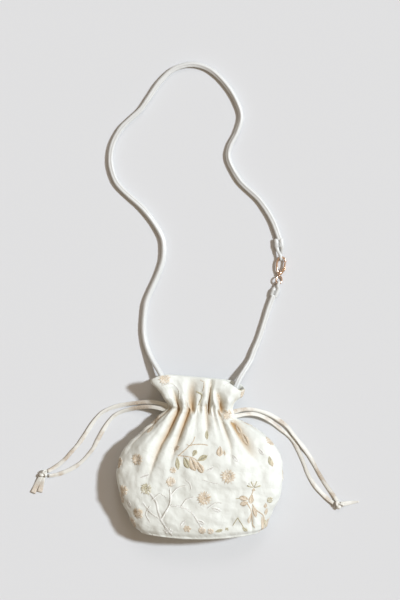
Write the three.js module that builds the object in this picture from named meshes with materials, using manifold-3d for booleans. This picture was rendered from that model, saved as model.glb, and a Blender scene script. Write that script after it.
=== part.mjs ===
// A small drawstring handbag, a reticule, lying on its back on a flat surface.
// Millimetres. +X is the bag's right as it lies, +Y runs from its base to its mouth, and +Z is up.
// The origin is on the flattened back, under the middle of the body.

import * as THREE from 'three';
import { mergeVertices } from 'three/addons/utils/BufferGeometryUtils.js';
import Module from 'manifold-3d';

const wasm = await Module();
wasm.setup();

// Cloth and fits
const clothWall = 1.5;
const touchGap = 0.3;

// The body's four named stations, from the base to the mouth.
// y is where the station crosses the middle, left and right are half widths, front and back are
// heights above the surface, side is the height of the widest points.
const base = { y: -94, left: 66, right: 68, front: 38, back: 0, side: 17 };
const belly = { y: -24, left: 95.6, right: 95.5, front: 48, back: 0, side: 21 };
const neck = { y: 53, left: 36, right: 39, front: 31, back: 5.5, side: 18 };
const mouth = { y: 90.3, left: 54, right: 52.3, front: 31, back: 4, side: 17 };
const neckSlope = 0.09;
const baseBow = 6;
const cornerDrop = 8;
const backFlatness = 1.35;
const baseSquareness = 2.8;
const neckSquareness = 2.4;

// Folds
const pleatDepth = 6.5;
const pleatWidth = 8;
const frillDepth = 8;
const frillWidth = 7;

// Columns: along is the share of the way to the next station; left, right, high and under are the
// shares of the change in half width, front height and back height that is made by then.
const baseToBelly = [
  { along: 0.0, left: 0.0, right: 0.0, high: 0.0, under: 0 },
  { along: 0.04, left: 0.0, right: 0.0, high: 0.0, under: 0 },
  { along: 0.1, left: 0.24, right: 0.31, high: 0.42, under: 0 },
  { along: 0.22, left: 0.42, right: 0.42, high: 0.68, under: 0 },
  { along: 0.38, left: 0.56, right: 0.57, high: 0.84, under: 0 },
  { along: 0.58, left: 0.75, right: 0.78, high: 0.95, under: 0 },
  { along: 0.79, left: 0.91, right: 0.93, high: 1.0, under: 0 },
];
const bellyToNeck = [
  { along: 0.0, left: 0.0, right: 0.0, high: 0.0, under: 0.0 },
  { along: 0.18, left: 0.04, right: 0.01, high: 0.03, under: 0.0 },
  { along: 0.34, left: 0.13, right: 0.04, high: 0.11, under: 0.0 },
  { along: 0.48, left: 0.26, right: 0.12, high: 0.22, under: 0.0 },
  { along: 0.6, left: 0.42, right: 0.24, high: 0.36, under: 0.05 },
  { along: 0.71, left: 0.56, right: 0.4, high: 0.51, under: 0.15 },
  { along: 0.81, left: 0.73, right: 0.59, high: 0.67, under: 0.33 },
  { along: 0.89, left: 0.84, right: 0.82, high: 0.82, under: 0.6 },
  { along: 0.95, left: 0.93, right: 0.97, high: 0.94, under: 0.85 },
];
const neckToMouth = [
  { along: 0.0, left: 0.0, right: 0.0, high: 0.0, under: 0.0 },
  { along: 0.12, left: 0.02, right: 0.02, high: 0.0, under: 0.0 },
  { along: 0.26, left: 0.14, right: 0.08, high: 0.2, under: 0.15 },
  { along: 0.45, left: 0.36, right: 0.35, high: 0.5, under: 0.4 },
  { along: 0.65, left: 0.62, right: 0.78, high: 0.8, under: 0.65 },
  { along: 0.84, left: 0.93, right: 0.95, high: 1.0, under: 0.85 },
  { along: 1.0, left: 1.0, right: 1.0, high: 1.0, under: 1.0 },
];

// Columns: start and end place the fold across the bag as a share of the half width, at the neck
// and where it runs out; reach is the share of the way down the body or up the frill; deep and
// wide are shares of the named fold sizes.
const frontPleats = [
  { start: -0.9, end: -0.92, reach: 0.62, deep: 0.45, wide: 0.7 },
  { start: -0.64, end: -0.56, reach: 0.62, deep: 1.0, wide: 1.0 },
  { start: -0.33, end: -0.33, reach: 0.52, deep: 1.0, wide: 0.8 },
  { start: 0.22, end: 0.09, reach: 0.4, deep: 0.6, wide: 1.1 },
  { start: 0.57, end: 0.39, reach: 0.5, deep: 0.55, wide: 0.6 },
  { start: 0.86, end: 0.66, reach: 0.48, deep: 0.8, wide: 1.0 },
];
const backPleats = [
  { start: -0.7, end: -0.6, reach: 0.3, deep: 0.5, wide: 1.0 },
  { start: -0.2, end: -0.15, reach: 0.3, deep: 0.5, wide: 1.0 },
  { start: 0.3, end: 0.25, reach: 0.3, deep: 0.5, wide: 1.0 },
  { start: 0.75, end: 0.65, reach: 0.3, deep: 0.5, wide: 1.0 },
];
const frontFlutes = [
  { start: -0.64, end: -0.6, reach: 0.45, deep: 0.7, wide: 0.7 },
  { start: -0.18, end: -0.09, reach: 1.4, deep: 1.0, wide: 1.0 },
  { start: 0.27, end: 0.28, reach: 1.4, deep: 0.8, wide: 0.6 },
  { start: 0.58, end: 0.46, reach: 0.5, deep: 0.7, wide: 0.7 },
];
const backFlutes = [
  { start: -0.45, end: -0.4, reach: 1.2, deep: 0.4, wide: 1.2 },
  { start: 0.1, end: 0.1, reach: 1.2, deep: 0.4, wide: 1.2 },
  { start: 0.55, end: 0.5, reach: 1.2, deep: 0.4, wide: 1.2 },
];
const frontSteps = 44;
const backSteps = 22;

// Base panel
const panelThickness = 1.6;
const panelRecess = 1.2;
const panelHollow = 2;

// Cords
const strapDiameter = 6.3;
const drawstringWidth = 4.6;
const drawstringThickness = 1.8;
const cordSides = 8;
const mostCordSteps = 80;

// Each route's points are x, y and the height of the cord's middle.
const strapLongRoute = [
  [-30.8, 62.6, 14.5], [-33.9, 70.5, 14.0], [-38.2, 81.4, 13.2], [-42.9, 91.7, 12.0], [-47.9, 100.6, 9.9],
  [-54.1, 110.9, 6.6], [-59, 121.6, 4.3], [-62.4, 133.1, 3.4], [-63.8, 144.6, 3.2], [-62.4, 167.6, 3.2],
  [-60.1, 179.1, 3.2], [-50, 202.1, 3.2], [-45.2, 213.6, 3.2], [-41.7, 225.1, 3.2], [-40.6, 236.6, 3.2],
  [-41.7, 248.1, 3.2], [-46.6, 259.6, 3.2], [-63, 282.6, 3.2], [-88.9, 306.8, 3.2], [-96.4, 317.1, 3.2],
  [-101.9, 337.2, 3.2], [-99.6, 357.2, 3.2], [-90, 375.6, 3.2], [-78.6, 387.2, 3.2], [-67.6, 397.4, 3.2],
  [-57.7, 411.4, 3.2], [-45.4, 429.4, 3.2], [-29.1, 444.3, 3.2], [-7.9, 449.8, 3.2], [11, 444.6, 3.2],
  [29.7, 428, 3.2], [41.9, 409.3, 3.2], [48, 390.1, 3.2], [43.1, 371.2, 3.2], [35.2, 355.5, 3.2],
  [33.4, 343, 3.2], [46.2, 317.1, 3.2], [69.2, 294.1, 3.2], [84.0, 271.1, 3.2], [91.6, 250.9, 3.6],
];
const strapShortRoute = [
  [34.3, 60.2, 13.9], [37.3, 68.6, 13.5], [41.6, 79.0, 12.8], [46.2, 89.4, 11.6], [52.6, 99.6, 9.0],
  [58.9, 110.1, 5.4], [63.4, 122.0, 3.9], [68.1, 133.1, 3.3], [74.6, 153, 3.2], [79.6, 169, 3.2],
  [84.4, 182.0, 3.6],
];
const leftOuterRoute = [
  [-37.2, 58.6, 16.2], [-46, 61.4, 15.4], [-56.7, 62.6, 12.6], [-68.2, 61.8, 8.0], [-79.7, 60.1, 3.9],
  [-91.2, 58.0, 1.7], [-102.7, 54.4, 1.2], [-111, 50, 1.2], [-117.6, 43.8, 1.2], [-123.4, 36, 1.2],
  [-129.1, 27.3, 1.2], [-134.9, 18.6, 1.2], [-140.6, 11.2, 1.2], [-147.5, 3.7, 1.2], [-153.3, -2.9, 1.2],
  [-160.2, -9, 1.2], [-167.1, -13.8, 1.5], [-173.9, -17.8, 3.0],
];
const leftInnerRoute = [
  [-40.5, 54.3, 15.6], [-48, 56.0, 14.4], [-56.7, 57.0, 12.0], [-68.2, 56, 7.2], [-79.7, 53.6, 3.1],
  [-90, 50.3, 1.4], [-97.4, 46, 1.2], [-103.3, 40, 1.2], [-108.4, 32.6, 1.2], [-113, 25, 1.2],
  [-117.4, 16.8, 1.2], [-121.1, 9.6, 1.2], [-125.7, 3.6, 1.2], [-131.4, -3.1, 1.2], [-138.3, -9.4, 1.2],
  [-146, -14.4, 1.2], [-155, -18.6, 1.2], [-163.5, -21.6, 1.3], [-173.0, -22.9, 2.6],
];
const rightUpperRoute = [
  [40.1, 51.5, 15.6], [49, 53.6, 14.8], [58.3, 54, 12.4], [69.8, 51.8, 8.2], [81.3, 47.4, 4.2],
  [92.8, 40.4, 2.0], [101.4, 33.4, 2.4], [108.2, 24.6, 3.5], [114, 17.2, 3.5], [120, 9.4, 2.0],
  [125.6, 1.6, 1.2], [130.8, -7.2, 1.2], [136, -17.3, 1.2], [141.8, -27.4, 1.2], [147.8, -36.5, 1.2],
  [153.4, -44.2, 1.6], [158.3, -51.4, 2.8],
];
const rightLowerRoute = [
  [43.4, 46.6, 14.8], [53, 48.2, 12.8], [64, 48.2, 8.6], [75.4, 44, 4.4], [83.6, 38.8, 2.0],
  [92.4, 31.6, 1.2], [101.4, 24.6, 1.2], [108, 17.8, 1.2], [112.7, 8.6, 1.2], [116.4, 0.6, 1.2],
  [121, -10.8, 1.2], [124.8, -20.6, 1.2], [129, -28.4, 1.2], [134.4, -35.8, 1.2], [141.1, -43.2, 1.2],
  [148, -49.8, 1.4], [154.9, -54.7, 2.6],
];

// Knots: the ball's half sizes, the turn of cord over it, and each tail as a list of places from
// the knot's middle with the strip's half width there.
const knotHalf = { along: 5.2, across: 4.8, up: 3.6 };
const knotTurn = { half: 2.2, proud: 0.5 };
const leftKnot = { x: -178.6, y: -20.2, z: 3.7 };
const rightKnot = { x: 160.4, y: -56.4, z: 3.7 };
const tailThickness = 1.6;
const tailHeight = 0.2;
const leftTails = [
  [{ x: -2.4, y: -1.8, half: 2.2 }, { x: -7.4, y: -10.8, half: 2.7 }, { x: -12.4, y: -22.3, half: 3 }],
  [{ x: 0.6, y: -2.8, half: 2.2 }, { x: -2.4, y: -11.8, half: 2.7 }, { x: -4.8, y: -21.3, half: 3 }],
];
const rightTails = [
  [{ x: 2.6, y: 0.9, half: 3.2 }, { x: 11.6, y: 2.2, half: 2.4 }, { x: 23.1, y: 3.8, half: 1 }],
];

// Clasp, in a frame of its own: +Y runs along it from the short strap to the long one.
const claspPlace = { x: 92.4, y: 209.6, z: 3.9, turn: -7 };
const wireRadius = 1.3;
const collar = { outer: 2.6, bore: 1.1, half: 1.75, bevel: 0.4 };
const post = { radius: 0.8, head: 1.6, headThickness: 0.7 };
const runningGap = 0.3;
const gateLength = 8.3;
const gateThickness = 2.1;
const gateHalfWidth = 0.9;
const gateThumb = { reach: 2.7, low: 0.4, high: 1.6 };
const gateShank = { start: 3, flare: 0.3 };
const earThickness = 0.8;
const earFoot = { left: 0.6, right: 2.3, low: -1, high: 2.4 };
const earRim = 0.2;
const pivot = { x: 3.7, y: 4.7, pin: 0.5, barrel: 1.6 };
const hookRoute = [
  [-1.9, 0.6, 0], [-3.5, 3.6, 0], [-4.5, 8.5, 0], [-4.4, 13.6, 0], [-2.6, 17.7, 0], [0.1, 18.7, 0],
  [2.9, 17.8, 0], [4.5, 15.4, 0], [4.6, pivot.y + gateLength + touchGap, 0],
];
const eye = { half: 3.1, rise: 3.4, wire: 1.0, turn: 35 };

// Strap ends: a loop round the metal, and the doubled stretch behind it
const loopWall = 1.5;
const tabInset = 0.3;
const doubledBevel = 1;
const longLoop = { x: -1.1, y: 18.45, width: 3.0, slack: 1.1, length: 12, lean: 14, overlap: 5 };
const longDouble = { half: 5.6, length: 15, thickness: 5.6 };
const shortLoop = { width: 2.8, slack: 1.1, length: 9, lean: -14.7, overlap: 3.5 };
const shortDouble = { half: 4.6, length: 11, thickness: 5.6 };

const cloth = () => new THREE.MeshStandardMaterial({ color: 0xf1f1ea, roughness: 0.65, metalness: 0 });
const satin = () => new THREE.MeshStandardMaterial({ color: 0xf6f4ec, roughness: 0.45, metalness: 0 });
const gold = () => new THREE.MeshStandardMaterial({ color: 0xdcb896, roughness: 0.25, metalness: 1 });

function named(name, geometry, material) {
  const mesh = new THREE.Mesh(geometry, material);
  mesh.name = name;
  return mesh;
}

const mix = (a, b, t) => a + (b - a) * t;
const curveOf = (points) => new THREE.CatmullRomCurve3(points.map((p) => new THREE.Vector3(...p)));

// One closed solid for a join or a cut.
function solidOf(geometry) {
  const bare = geometry.clone();
  bare.deleteAttribute('normal');
  bare.deleteAttribute('uv');
  const whole = mergeVertices(bare, 1e-4);
  return new wasm.Manifold(new wasm.Mesh({
    numProp: 3,
    vertProperties: new Float32Array(whole.attributes.position.array),
    triVerts: new Uint32Array(whole.index.array),
  }));
}

function geometryOf(solid) {
  const mesh = solid.getMesh();
  const geometry = new THREE.BufferGeometry();
  geometry.setAttribute('position', new THREE.BufferAttribute(new Float32Array(mesh.vertProperties), 3));
  geometry.setIndex(new THREE.BufferAttribute(new Uint32Array(mesh.triVerts), 1));
  return geometry;
}

const joined = (geometries) => geometryOf(geometries.map(solidOf).reduce((whole, next) => whole.add(next)));

// The sections of the pouch, from the base to the mouth.
function sectionsOf(rows, from, to, settings) {
  return rows.map((row) => {
    const share = settings.slopeShare(row.along);
    return {
      y: mix(from.y, to.y, row.along),
      slope: neckSlope * share,
      left: mix(from.left, to.left, row.left),
      right: mix(from.right, to.right, row.right),
      front: mix(from.front, to.front, row.high),
      back: mix(from.back, to.back, row.under),
      side: mix(from.side, to.side, row.along),
      square: mix(baseSquareness, neckSquareness, share),
      bow: baseBow * settings.bowShare(row.along),
      drop: cornerDrop * settings.dropShare(row.along),
      down: settings.down(row.along),
      up: settings.up(row.along),
    };
  });
}

// down is the way from the neck to the base and up the way from the neck to the mouth, as shares;
// a negative one lies on the far side of the neck.
const bodyLength = neck.y - base.y;
const frillLength = mouth.y - neck.y;
const lowerShare = (belly.y - base.y) / bodyLength;
const sections = [
  ...sectionsOf(baseToBelly, base, belly, {
    slopeShare: () => 0,
    bowShare: (along) => 1 - along,
    dropShare: () => 0,
    down: (along) => 1 - along * lowerShare,
    up: () => -1,
  }),
  ...sectionsOf(bellyToNeck, belly, neck, {
    slopeShare: (along) => along,
    bowShare: () => 0,
    dropShare: () => 0,
    down: (along) => (1 - lowerShare) * (1 - along),
    up: () => -1,
  }),
  ...sectionsOf(neckToMouth, neck, mouth, {
    slopeShare: () => 1,
    bowShare: () => 0,
    dropShare: (along) => along * along,
    down: (along) => -along * frillLength / bodyLength,
    up: (along) => along,
  }),
];

// How far one fold pulls the cloth in, at a way from the neck and a share of the half width.
function foldPull(fold, way, share, halfWidth, width) {
  const run = Math.min(Math.max(way / fold.reach, 0), 1);
  const centre = mix(fold.start, fold.end, run);
  const spread = fold.wide * width * mix(1, 1.5, run) / halfWidth;
  const off = (share - centre) / spread;
  if (Math.abs(off) >= 1) return 0;
  const fade = way >= 0 ? Math.cos(run * Math.PI / 2) : Math.max(0, 1 + way * 8);
  return fold.deep * fade * (0.5 + 0.5 * Math.cos(off * Math.PI));
}

const total = (values) => values.reduce((sum, value) => sum + value, 0);

function pull(section, share, halfWidth, isFront) {
  const pleats = isFront ? frontPleats : backPleats;
  const flutes = isFront ? frontFlutes : backFlutes;
  const body = total(pleats.map((fold) => foldPull(fold, section.down, share, halfWidth, pleatWidth)));
  const frill = total(flutes.map((fold) => foldPull(fold, section.up, share, halfWidth, frillWidth)));
  return Math.max(body * pleatDepth, frill * frillDepth);
}

// The outer cloth of one section: points round the loop, anticlockwise seen from the base.
function outerLoop(section) {
  const angles = [];
  for (let i = 0; i < frontSteps; i += 1) angles.push(Math.PI * i / frontSteps);
  for (let i = 0; i < backSteps; i += 1) angles.push(Math.PI * (1 + i / backSteps));
  const power = 2 / section.square;
  const plain = (angle) => {
    const share = Math.sign(Math.cos(angle)) * Math.abs(Math.cos(angle)) ** power;
    const lift = Math.abs(Math.sin(angle)) ** power;
    const x = share * (share > 0 ? section.right : section.left);
    const under = section.side - (section.side - section.back) * Math.min(1, lift * backFlatness);
    const z = Math.sin(angle) >= 0 ? mix(section.side, section.front, lift) : under;
    return { x, z, share };
  };
  const step = Math.PI / 60;
  return angles.map((angle) => {
    const here = plain(angle);
    const before = plain(angle - step);
    const after = plain(angle + step);
    const outward = new THREE.Vector2(after.z - before.z, before.x - after.x).normalize();
    const halfWidth = here.share > 0 ? section.right : section.left;
    const depth = pull(section, here.share, halfWidth, Math.sin(angle) > 0);
    return new THREE.Vector2(here.x - outward.x * depth, here.z - outward.y * depth);
  });
}

// The same loop moved in by a distance.
function inwards(loop, distance) {
  return loop.map((point, i) => {
    const before = loop[(i + loop.length - 1) % loop.length];
    const after = loop[(i + 1) % loop.length];
    const outward = new THREE.Vector2(after.y - before.y, before.x - after.x).normalize();
    return point.clone().addScaledVector(outward, -distance);
  });
}

// Puts a loop's points at their height along the bag.
function placed(section, loop) {
  return loop.map((point) => {
    const share = point.x / (point.x > 0 ? section.right : section.left);
    const drop = section.drop * Math.abs(share) ** 8;
    const rise = section.bow * share * share;
    return new THREE.Vector3(point.x, section.y - section.slope * point.x - drop + rise, point.y);
  });
}

// A closed mesh through a ring of loops; the last loop joins the first when the ring is closed.
function meshOfLoops(loops, isRing) {
  const positions = loops.flat().flatMap((point) => [point.x, point.y, point.z]);
  const count = loops[0].length;
  const faces = [];
  const bands = isRing ? loops.length : loops.length - 1;
  for (let band = 0; band < bands; band += 1) {
    const near = band * count;
    const far = ((band + 1) % loops.length) * count;
    for (let i = 0; i < count; i += 1) {
      const next = (i + 1) % count;
      faces.push(near + i, near + next, far + next, near + i, far + next, far + i);
    }
  }
  return { positions, faces, count };
}

function geometryFrom(positions, faces) {
  const geometry = new THREE.BufferGeometry();
  geometry.setAttribute('position', new THREE.Float32BufferAttribute(positions, 3));
  geometry.setIndex(faces);
  return geometry;
}

function pouchCloth() {
  const outer = sections.map((section) => placed(section, outerLoop(section)));
  const inner = sections.map((section) => placed(section, inwards(outerLoop(section), clothWall)));
  const { positions, faces } = meshOfLoops([...inner, ...outer.reverse()], true);
  return geometryFrom(positions, faces);
}

// A plate inside the seam lip, drawn in a little at its middle.
function basePanel() {
  const section = sections[0];
  const rim = inwards(outerLoop(section), clothWall + touchGap);
  const middle = new THREE.Vector2((section.right - section.left) / 2, section.front / 2);
  const ring = (size, depth) => placed(
    { ...section, y: section.y + depth + panelHollow * (1 - size * size) },
    rim.map((point) => middle.clone().lerp(point, size)),
  );
  const sizes = [0.55, 1];
  const inside = sizes.map((size) => ring(size, panelRecess + panelThickness));
  const outside = sizes.map((size) => ring(size, panelRecess)).reverse();
  const { positions, faces, count } = meshOfLoops([...inside, ...outside], false);
  const last = (sizes.length * 2 - 1) * count;
  const hub = (depth) => [middle.x, section.y + depth + panelHollow, middle.y];
  positions.push(...hub(panelRecess + panelThickness), ...hub(panelRecess));
  const innerHub = positions.length / 3 - 2;
  for (let i = 0; i < count; i += 1) {
    const next = (i + 1) % count;
    faces.push(innerHub, next, i);
    faces.push(innerHub + 1, last + i, last + next);
  }
  return geometryFrom(positions, faces);
}

// A section with straight sides: half sizes across and up, and its number of corners.
function roundSection(half, up, sides) {
  const shape = new THREE.Shape();
  for (let i = 0; i < sides; i += 1) {
    const angle = (i + 0.5) / sides * Math.PI * 2;
    const reach = 1 / Math.cos(Math.PI / sides);
    const x = Math.cos(angle) * half * reach;
    const y = Math.sin(angle) * up * reach;
    if (i) shape.lineTo(x, y);
    else shape.moveTo(x, y);
  }
  shape.closePath();
  return shape;
}

// A cord along a route, with its corners on its true width. Its section lies flat whichever way the
// curve's frame starts.
function cord(route, width, thickness) {
  const curve = curveOf(route);
  const steps = Math.min(mostCordSteps, Math.round(curve.getLength() / (2.4 * width)));
  const frames = curve.computeFrenetFrames(steps, false);
  const normalIsUp = Math.abs(frames.normals[0].z) > Math.abs(frames.binormals[0].z);
  const fit = Math.cos(Math.PI / cordSides) / 2;
  const shape = normalIsUp
    ? roundSection(thickness * fit, width * fit, cordSides)
    : roundSection(width * fit, thickness * fit, cordSides);
  return new THREE.ExtrudeGeometry(shape, { steps, bevelEnabled: false, extrudePath: curve });
}

const strap = (route) => cord(route, strapDiameter, strapDiameter);
const drawstring = (route) => cord(route, drawstringWidth, drawstringThickness);

// A flat strip through points that each give their half width, standing on the surface.
function strip(points) {
  const shape = new THREE.Shape();
  const sideOf = (point, i, sign) => {
    const before = points[Math.max(i - 1, 0)];
    const after = points[Math.min(i + 1, points.length - 1)];
    const along = new THREE.Vector2(after.x - before.x, after.y - before.y).normalize();
    return [point.x - along.y * point.half * sign, point.y + along.x * point.half * sign];
  };
  const left = points.map((point, i) => sideOf(point, i, 1));
  const right = points.map((point, i) => sideOf(point, i, -1)).reverse();
  [...left, ...right].forEach(([x, y], i) => (i ? shape.lineTo(x, y) : shape.moveTo(x, y)));
  shape.closePath();
  const geometry = new THREE.ExtrudeGeometry(shape, { depth: tailThickness, bevelEnabled: false });
  return geometry.translate(0, 0, tailHeight);
}

// A ball with a turn of cord over it, and the tails beyond.
function knot(centre, tails, lean) {
  const ball = new THREE.SphereGeometry(1, 12, 8);
  ball.scale(knotHalf.along, knotHalf.across, knotHalf.up);
  const turn = new THREE.SphereGeometry(1, 10, 6);
  turn.scale(knotTurn.half, knotHalf.across + knotTurn.proud, knotHalf.up);
  turn.rotateZ(lean);
  const shapes = [ball, turn].map((shape) => shape.translate(centre.x, centre.y, centre.z));
  const strips = tails.map((tail) => strip(tail).translate(centre.x, centre.y, 0));
  return joined([...shapes, ...strips]);
}

// A turned ring whose middle lies on the Y axis.
function sleeve(inner, outer, half) {
  const { bevel } = collar;
  const profile = [
    [inner, -half], [outer - bevel, -half], [outer, -half + bevel], [outer, half - bevel],
    [outer - bevel, half], [inner, half], [inner, -half],
  ];
  return new THREE.LatheGeometry(profile.map(([x, y]) => new THREE.Vector2(x, y)), 16);
}

function ear(low) {
  const shape = new THREE.Shape();
  const reach = pivot.barrel + earRim;
  shape.moveTo(earFoot.left, earFoot.low);
  shape.lineTo(earFoot.right, earFoot.low);
  shape.absarc(pivot.x, pivot.y, reach, -0.65, Math.PI * 0.95, false);
  shape.lineTo(earFoot.right, earFoot.high);
  shape.lineTo(earFoot.left, earFoot.high);
  shape.closePath();
  const plate = new THREE.ExtrudeGeometry(shape, { depth: earThickness, bevelEnabled: false, curveSegments: 6 });
  return plate.translate(0, 0, low);
}

function hookBody() {
  const earLow = gateThickness / 2 + runningGap;
  const pin = new THREE.CylinderGeometry(pivot.pin, pivot.pin, 2 * earLow + earThickness, 10);
  pin.rotateX(Math.PI / 2);
  pin.translate(pivot.x, pivot.y, 0);
  const curve = curveOf(hookRoute);
  const arm = new THREE.ExtrudeGeometry(
    roundSection(wireRadius, wireRadius, 8),
    { steps: 26, bevelEnabled: false, extrudePath: curve },
  );
  const parts = [sleeve(collar.bore, collar.outer, collar.half), ear(earLow), ear(-earLow - earThickness), pin];
  const bore = new THREE.CylinderGeometry(collar.bore, collar.bore, 4 * collar.half, 16);
  const head = new THREE.CylinderGeometry(
    post.head + runningGap, post.head + runningGap, post.headThickness + 2 * runningGap, 16,
  );
  head.translate(0, collar.half + runningGap + post.headThickness / 2, 0);
  const whole = [...parts, arm].map(solidOf).reduce((sum, next) => sum.add(next));
  return geometryOf(whole.subtract(solidOf(bore)).subtract(solidOf(head)));
}

function hookGate() {
  const shape = new THREE.Shape();
  const lean = hookRoute[hookRoute.length - 1][0] - pivot.x;
  shape.absarc(0, 0, pivot.barrel, Math.PI * 0.85, Math.PI * 1.9, false);
  shape.lineTo(gateThumb.reach, gateThumb.low);
  shape.lineTo(gateThumb.reach, gateThumb.high);
  shape.lineTo(lean + gateHalfWidth, gateShank.start);
  shape.lineTo(lean + gateHalfWidth, gateLength);
  shape.lineTo(lean - gateHalfWidth, gateLength);
  shape.lineTo(lean - gateHalfWidth - gateShank.flare, gateShank.start);
  shape.closePath();
  const hole = new THREE.Path();
  hole.absarc(0, 0, pivot.pin + runningGap, 0, Math.PI * 2, true);
  shape.holes.push(hole);
  const plate = new THREE.ExtrudeGeometry(shape, { depth: gateThickness, bevelEnabled: false, curveSegments: 8 });
  return plate.translate(pivot.x, pivot.y, -gateThickness / 2);
}

const eyeTop = -collar.half - runningGap;
const eyeMiddle = eyeTop - eye.wire - eye.rise - eye.wire;

function swivelEye() {
  const headLow = collar.half + runningGap;
  const head = new THREE.CylinderGeometry(post.head, post.head, post.headThickness, 14);
  head.translate(0, headLow + post.headThickness / 2, 0);
  const stemLength = headLow - eyeTop + eye.wire + post.headThickness / 2;
  const stem = new THREE.CylinderGeometry(post.radius, post.radius, stemLength, 12);
  stem.translate(0, headLow + post.headThickness / 2 - stemLength / 2, 0);
  const ring = new THREE.TorusGeometry(eye.half + eye.wire, eye.wire, 8, 24);
  ring.scale(1, (eye.rise + eye.wire) / (eye.half + eye.wire), 1);
  ring.translate(0, eyeMiddle, 0);
  ring.rotateY(THREE.MathUtils.degToRad(eye.turn));
  return joined([head, stem, ring]);
}

// A tab with an eye for a wire at the origin; the tab runs along +Y and is rounded round the wire.
function loopTab(width, length, wire, slack) {
  const inner = wire + slack;
  const outer = inner + loopWall;
  const shape = new THREE.Shape();
  shape.absarc(0, 0, outer, Math.PI, Math.PI * 2, false);
  shape.lineTo(strapDiameter / 2 - tabInset, length);
  shape.lineTo(-strapDiameter / 2 + tabInset, length);
  shape.closePath();
  const hole = new THREE.Path();
  hole.absarc(0, 0, inner, 0, Math.PI * 2, true);
  shape.holes.push(hole);
  const tab = new THREE.ExtrudeGeometry(shape, { depth: width, bevelEnabled: false, curveSegments: 8 });
  tab.translate(0, 0, -width / 2);
  return tab.rotateY(Math.PI / 2);
}

// The strap doubled back on itself: a flat bar with round edges, from low to low + length.
function doubled(sizes, low) {
  const shape = new THREE.Shape();
  const { half, length, thickness } = sizes;
  const bevel = doubledBevel;
  shape.moveTo(-half * 0.5, low);
  shape.lineTo(half * 0.5, low);
  shape.quadraticCurveTo(half, low + bevel, half, low + length * 0.35);
  shape.lineTo(half * 0.85, low + length * 0.85);
  shape.lineTo(half * 0.55, low + length);
  shape.lineTo(-half * 0.55, low + length);
  shape.lineTo(-half * 0.85, low + length * 0.85);
  shape.lineTo(-half, low + length * 0.35);
  shape.quadraticCurveTo(-half, low + bevel, -half * 0.5, low);
  const bar = new THREE.ExtrudeGeometry(shape, {
    depth: thickness - 2 * bevel,
    bevelThickness: bevel,
    bevelSize: bevel,
    bevelOffset: -bevel,
    bevelSegments: 1,
    curveSegments: 4,
  });
  return bar.translate(0, 0, -thickness / 2 + bevel);
}

function strapEndLong() {
  const tab = loopTab(longLoop.width, longLoop.length, wireRadius, longLoop.slack);
  return joined([tab, doubled(longDouble, longLoop.length - longLoop.overlap)]);
}

function strapEndShort() {
  const tab = loopTab(shortLoop.width, shortLoop.length, eye.wire, shortLoop.slack);
  tab.rotateY(-THREE.MathUtils.degToRad(eye.turn));
  return joined([tab, doubled(shortDouble, shortLoop.length - shortLoop.overlap)]);
}

function clasp() {
  const group = new THREE.Group();
  const hook = named('hook_body', hookBody(), gold());
  const gate = named('hook_gate', hookGate(), gold());
  const ring = named('swivel_eye', swivelEye(), gold());
  const longEnd = named('strap_end_long', strapEndLong(), satin());
  longEnd.position.set(longLoop.x, longLoop.y, 0);
  longEnd.rotation.z = THREE.MathUtils.degToRad(longLoop.lean);
  const shortEnd = named('strap_end_short', strapEndShort(), satin());
  shortEnd.position.set(0, eyeMiddle - eye.rise - eye.wire + touchGap, 0);
  shortEnd.rotation.z = Math.PI + THREE.MathUtils.degToRad(shortLoop.lean);
  group.add(hook, gate, ring, longEnd, shortEnd);
  group.position.set(claspPlace.x, claspPlace.y, claspPlace.z);
  group.rotation.z = THREE.MathUtils.degToRad(claspPlace.turn);
  return group;
}

const reticule = new THREE.Group();
reticule.name = 'reticule';
reticule.add(
  named('pouch_cloth', pouchCloth(), cloth()),
  named('base_panel', basePanel(), cloth()),
  named('strap_long', strap(strapLongRoute), satin()),
  named('strap_short', strap(strapShortRoute), satin()),
  named('drawstring_left_outer', drawstring(leftOuterRoute), cloth()),
  named('drawstring_left_inner', drawstring(leftInnerRoute), cloth()),
  named('drawstring_right_upper', drawstring(rightUpperRoute), cloth()),
  named('drawstring_right_lower', drawstring(rightLowerRoute), cloth()),
  named('knot_left', knot(leftKnot, leftTails, 0.6), cloth()),
  named('knot_right', knot(rightKnot, rightTails, -0.5), cloth()),
  clasp(),
);

export default reticule;
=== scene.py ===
"""A small drawstring handbag in embroidered ivory cloth, lying flat with its strap laid out above it.

Lengths below are millimetres unless a name says otherwise, in the frame's own axes: +X across the
bag, +Y from its base to its mouth, +Z up.
"""

import math

import bpy
import numpy as np
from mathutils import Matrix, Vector
from mathutils.bvhtree import BVHTree
from mathutils.noise import noise


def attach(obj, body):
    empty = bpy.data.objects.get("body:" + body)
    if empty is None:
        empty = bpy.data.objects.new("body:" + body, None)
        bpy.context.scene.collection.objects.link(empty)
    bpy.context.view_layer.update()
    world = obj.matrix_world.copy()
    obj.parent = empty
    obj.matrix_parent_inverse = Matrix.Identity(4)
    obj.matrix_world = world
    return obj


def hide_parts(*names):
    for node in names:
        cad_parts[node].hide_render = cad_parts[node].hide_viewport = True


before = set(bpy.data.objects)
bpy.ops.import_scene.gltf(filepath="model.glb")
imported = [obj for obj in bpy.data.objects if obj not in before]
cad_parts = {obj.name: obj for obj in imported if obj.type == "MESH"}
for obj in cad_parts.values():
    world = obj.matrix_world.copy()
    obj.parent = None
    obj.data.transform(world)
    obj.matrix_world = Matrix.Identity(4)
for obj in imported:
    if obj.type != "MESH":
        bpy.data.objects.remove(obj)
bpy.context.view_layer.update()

MM = 0.001
SEED = 20

# The photograph's frame: its middle column and the bag's middle row in pixels, and its scale.
PHOTO_HEIGHT = 600
PIXEL = 1.15
MIDDLE_COLUMN = 199.3
MIDDLE_ROW = 455.75
CAMERA = np.array([0.8, 179.1, 3000.0])


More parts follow.
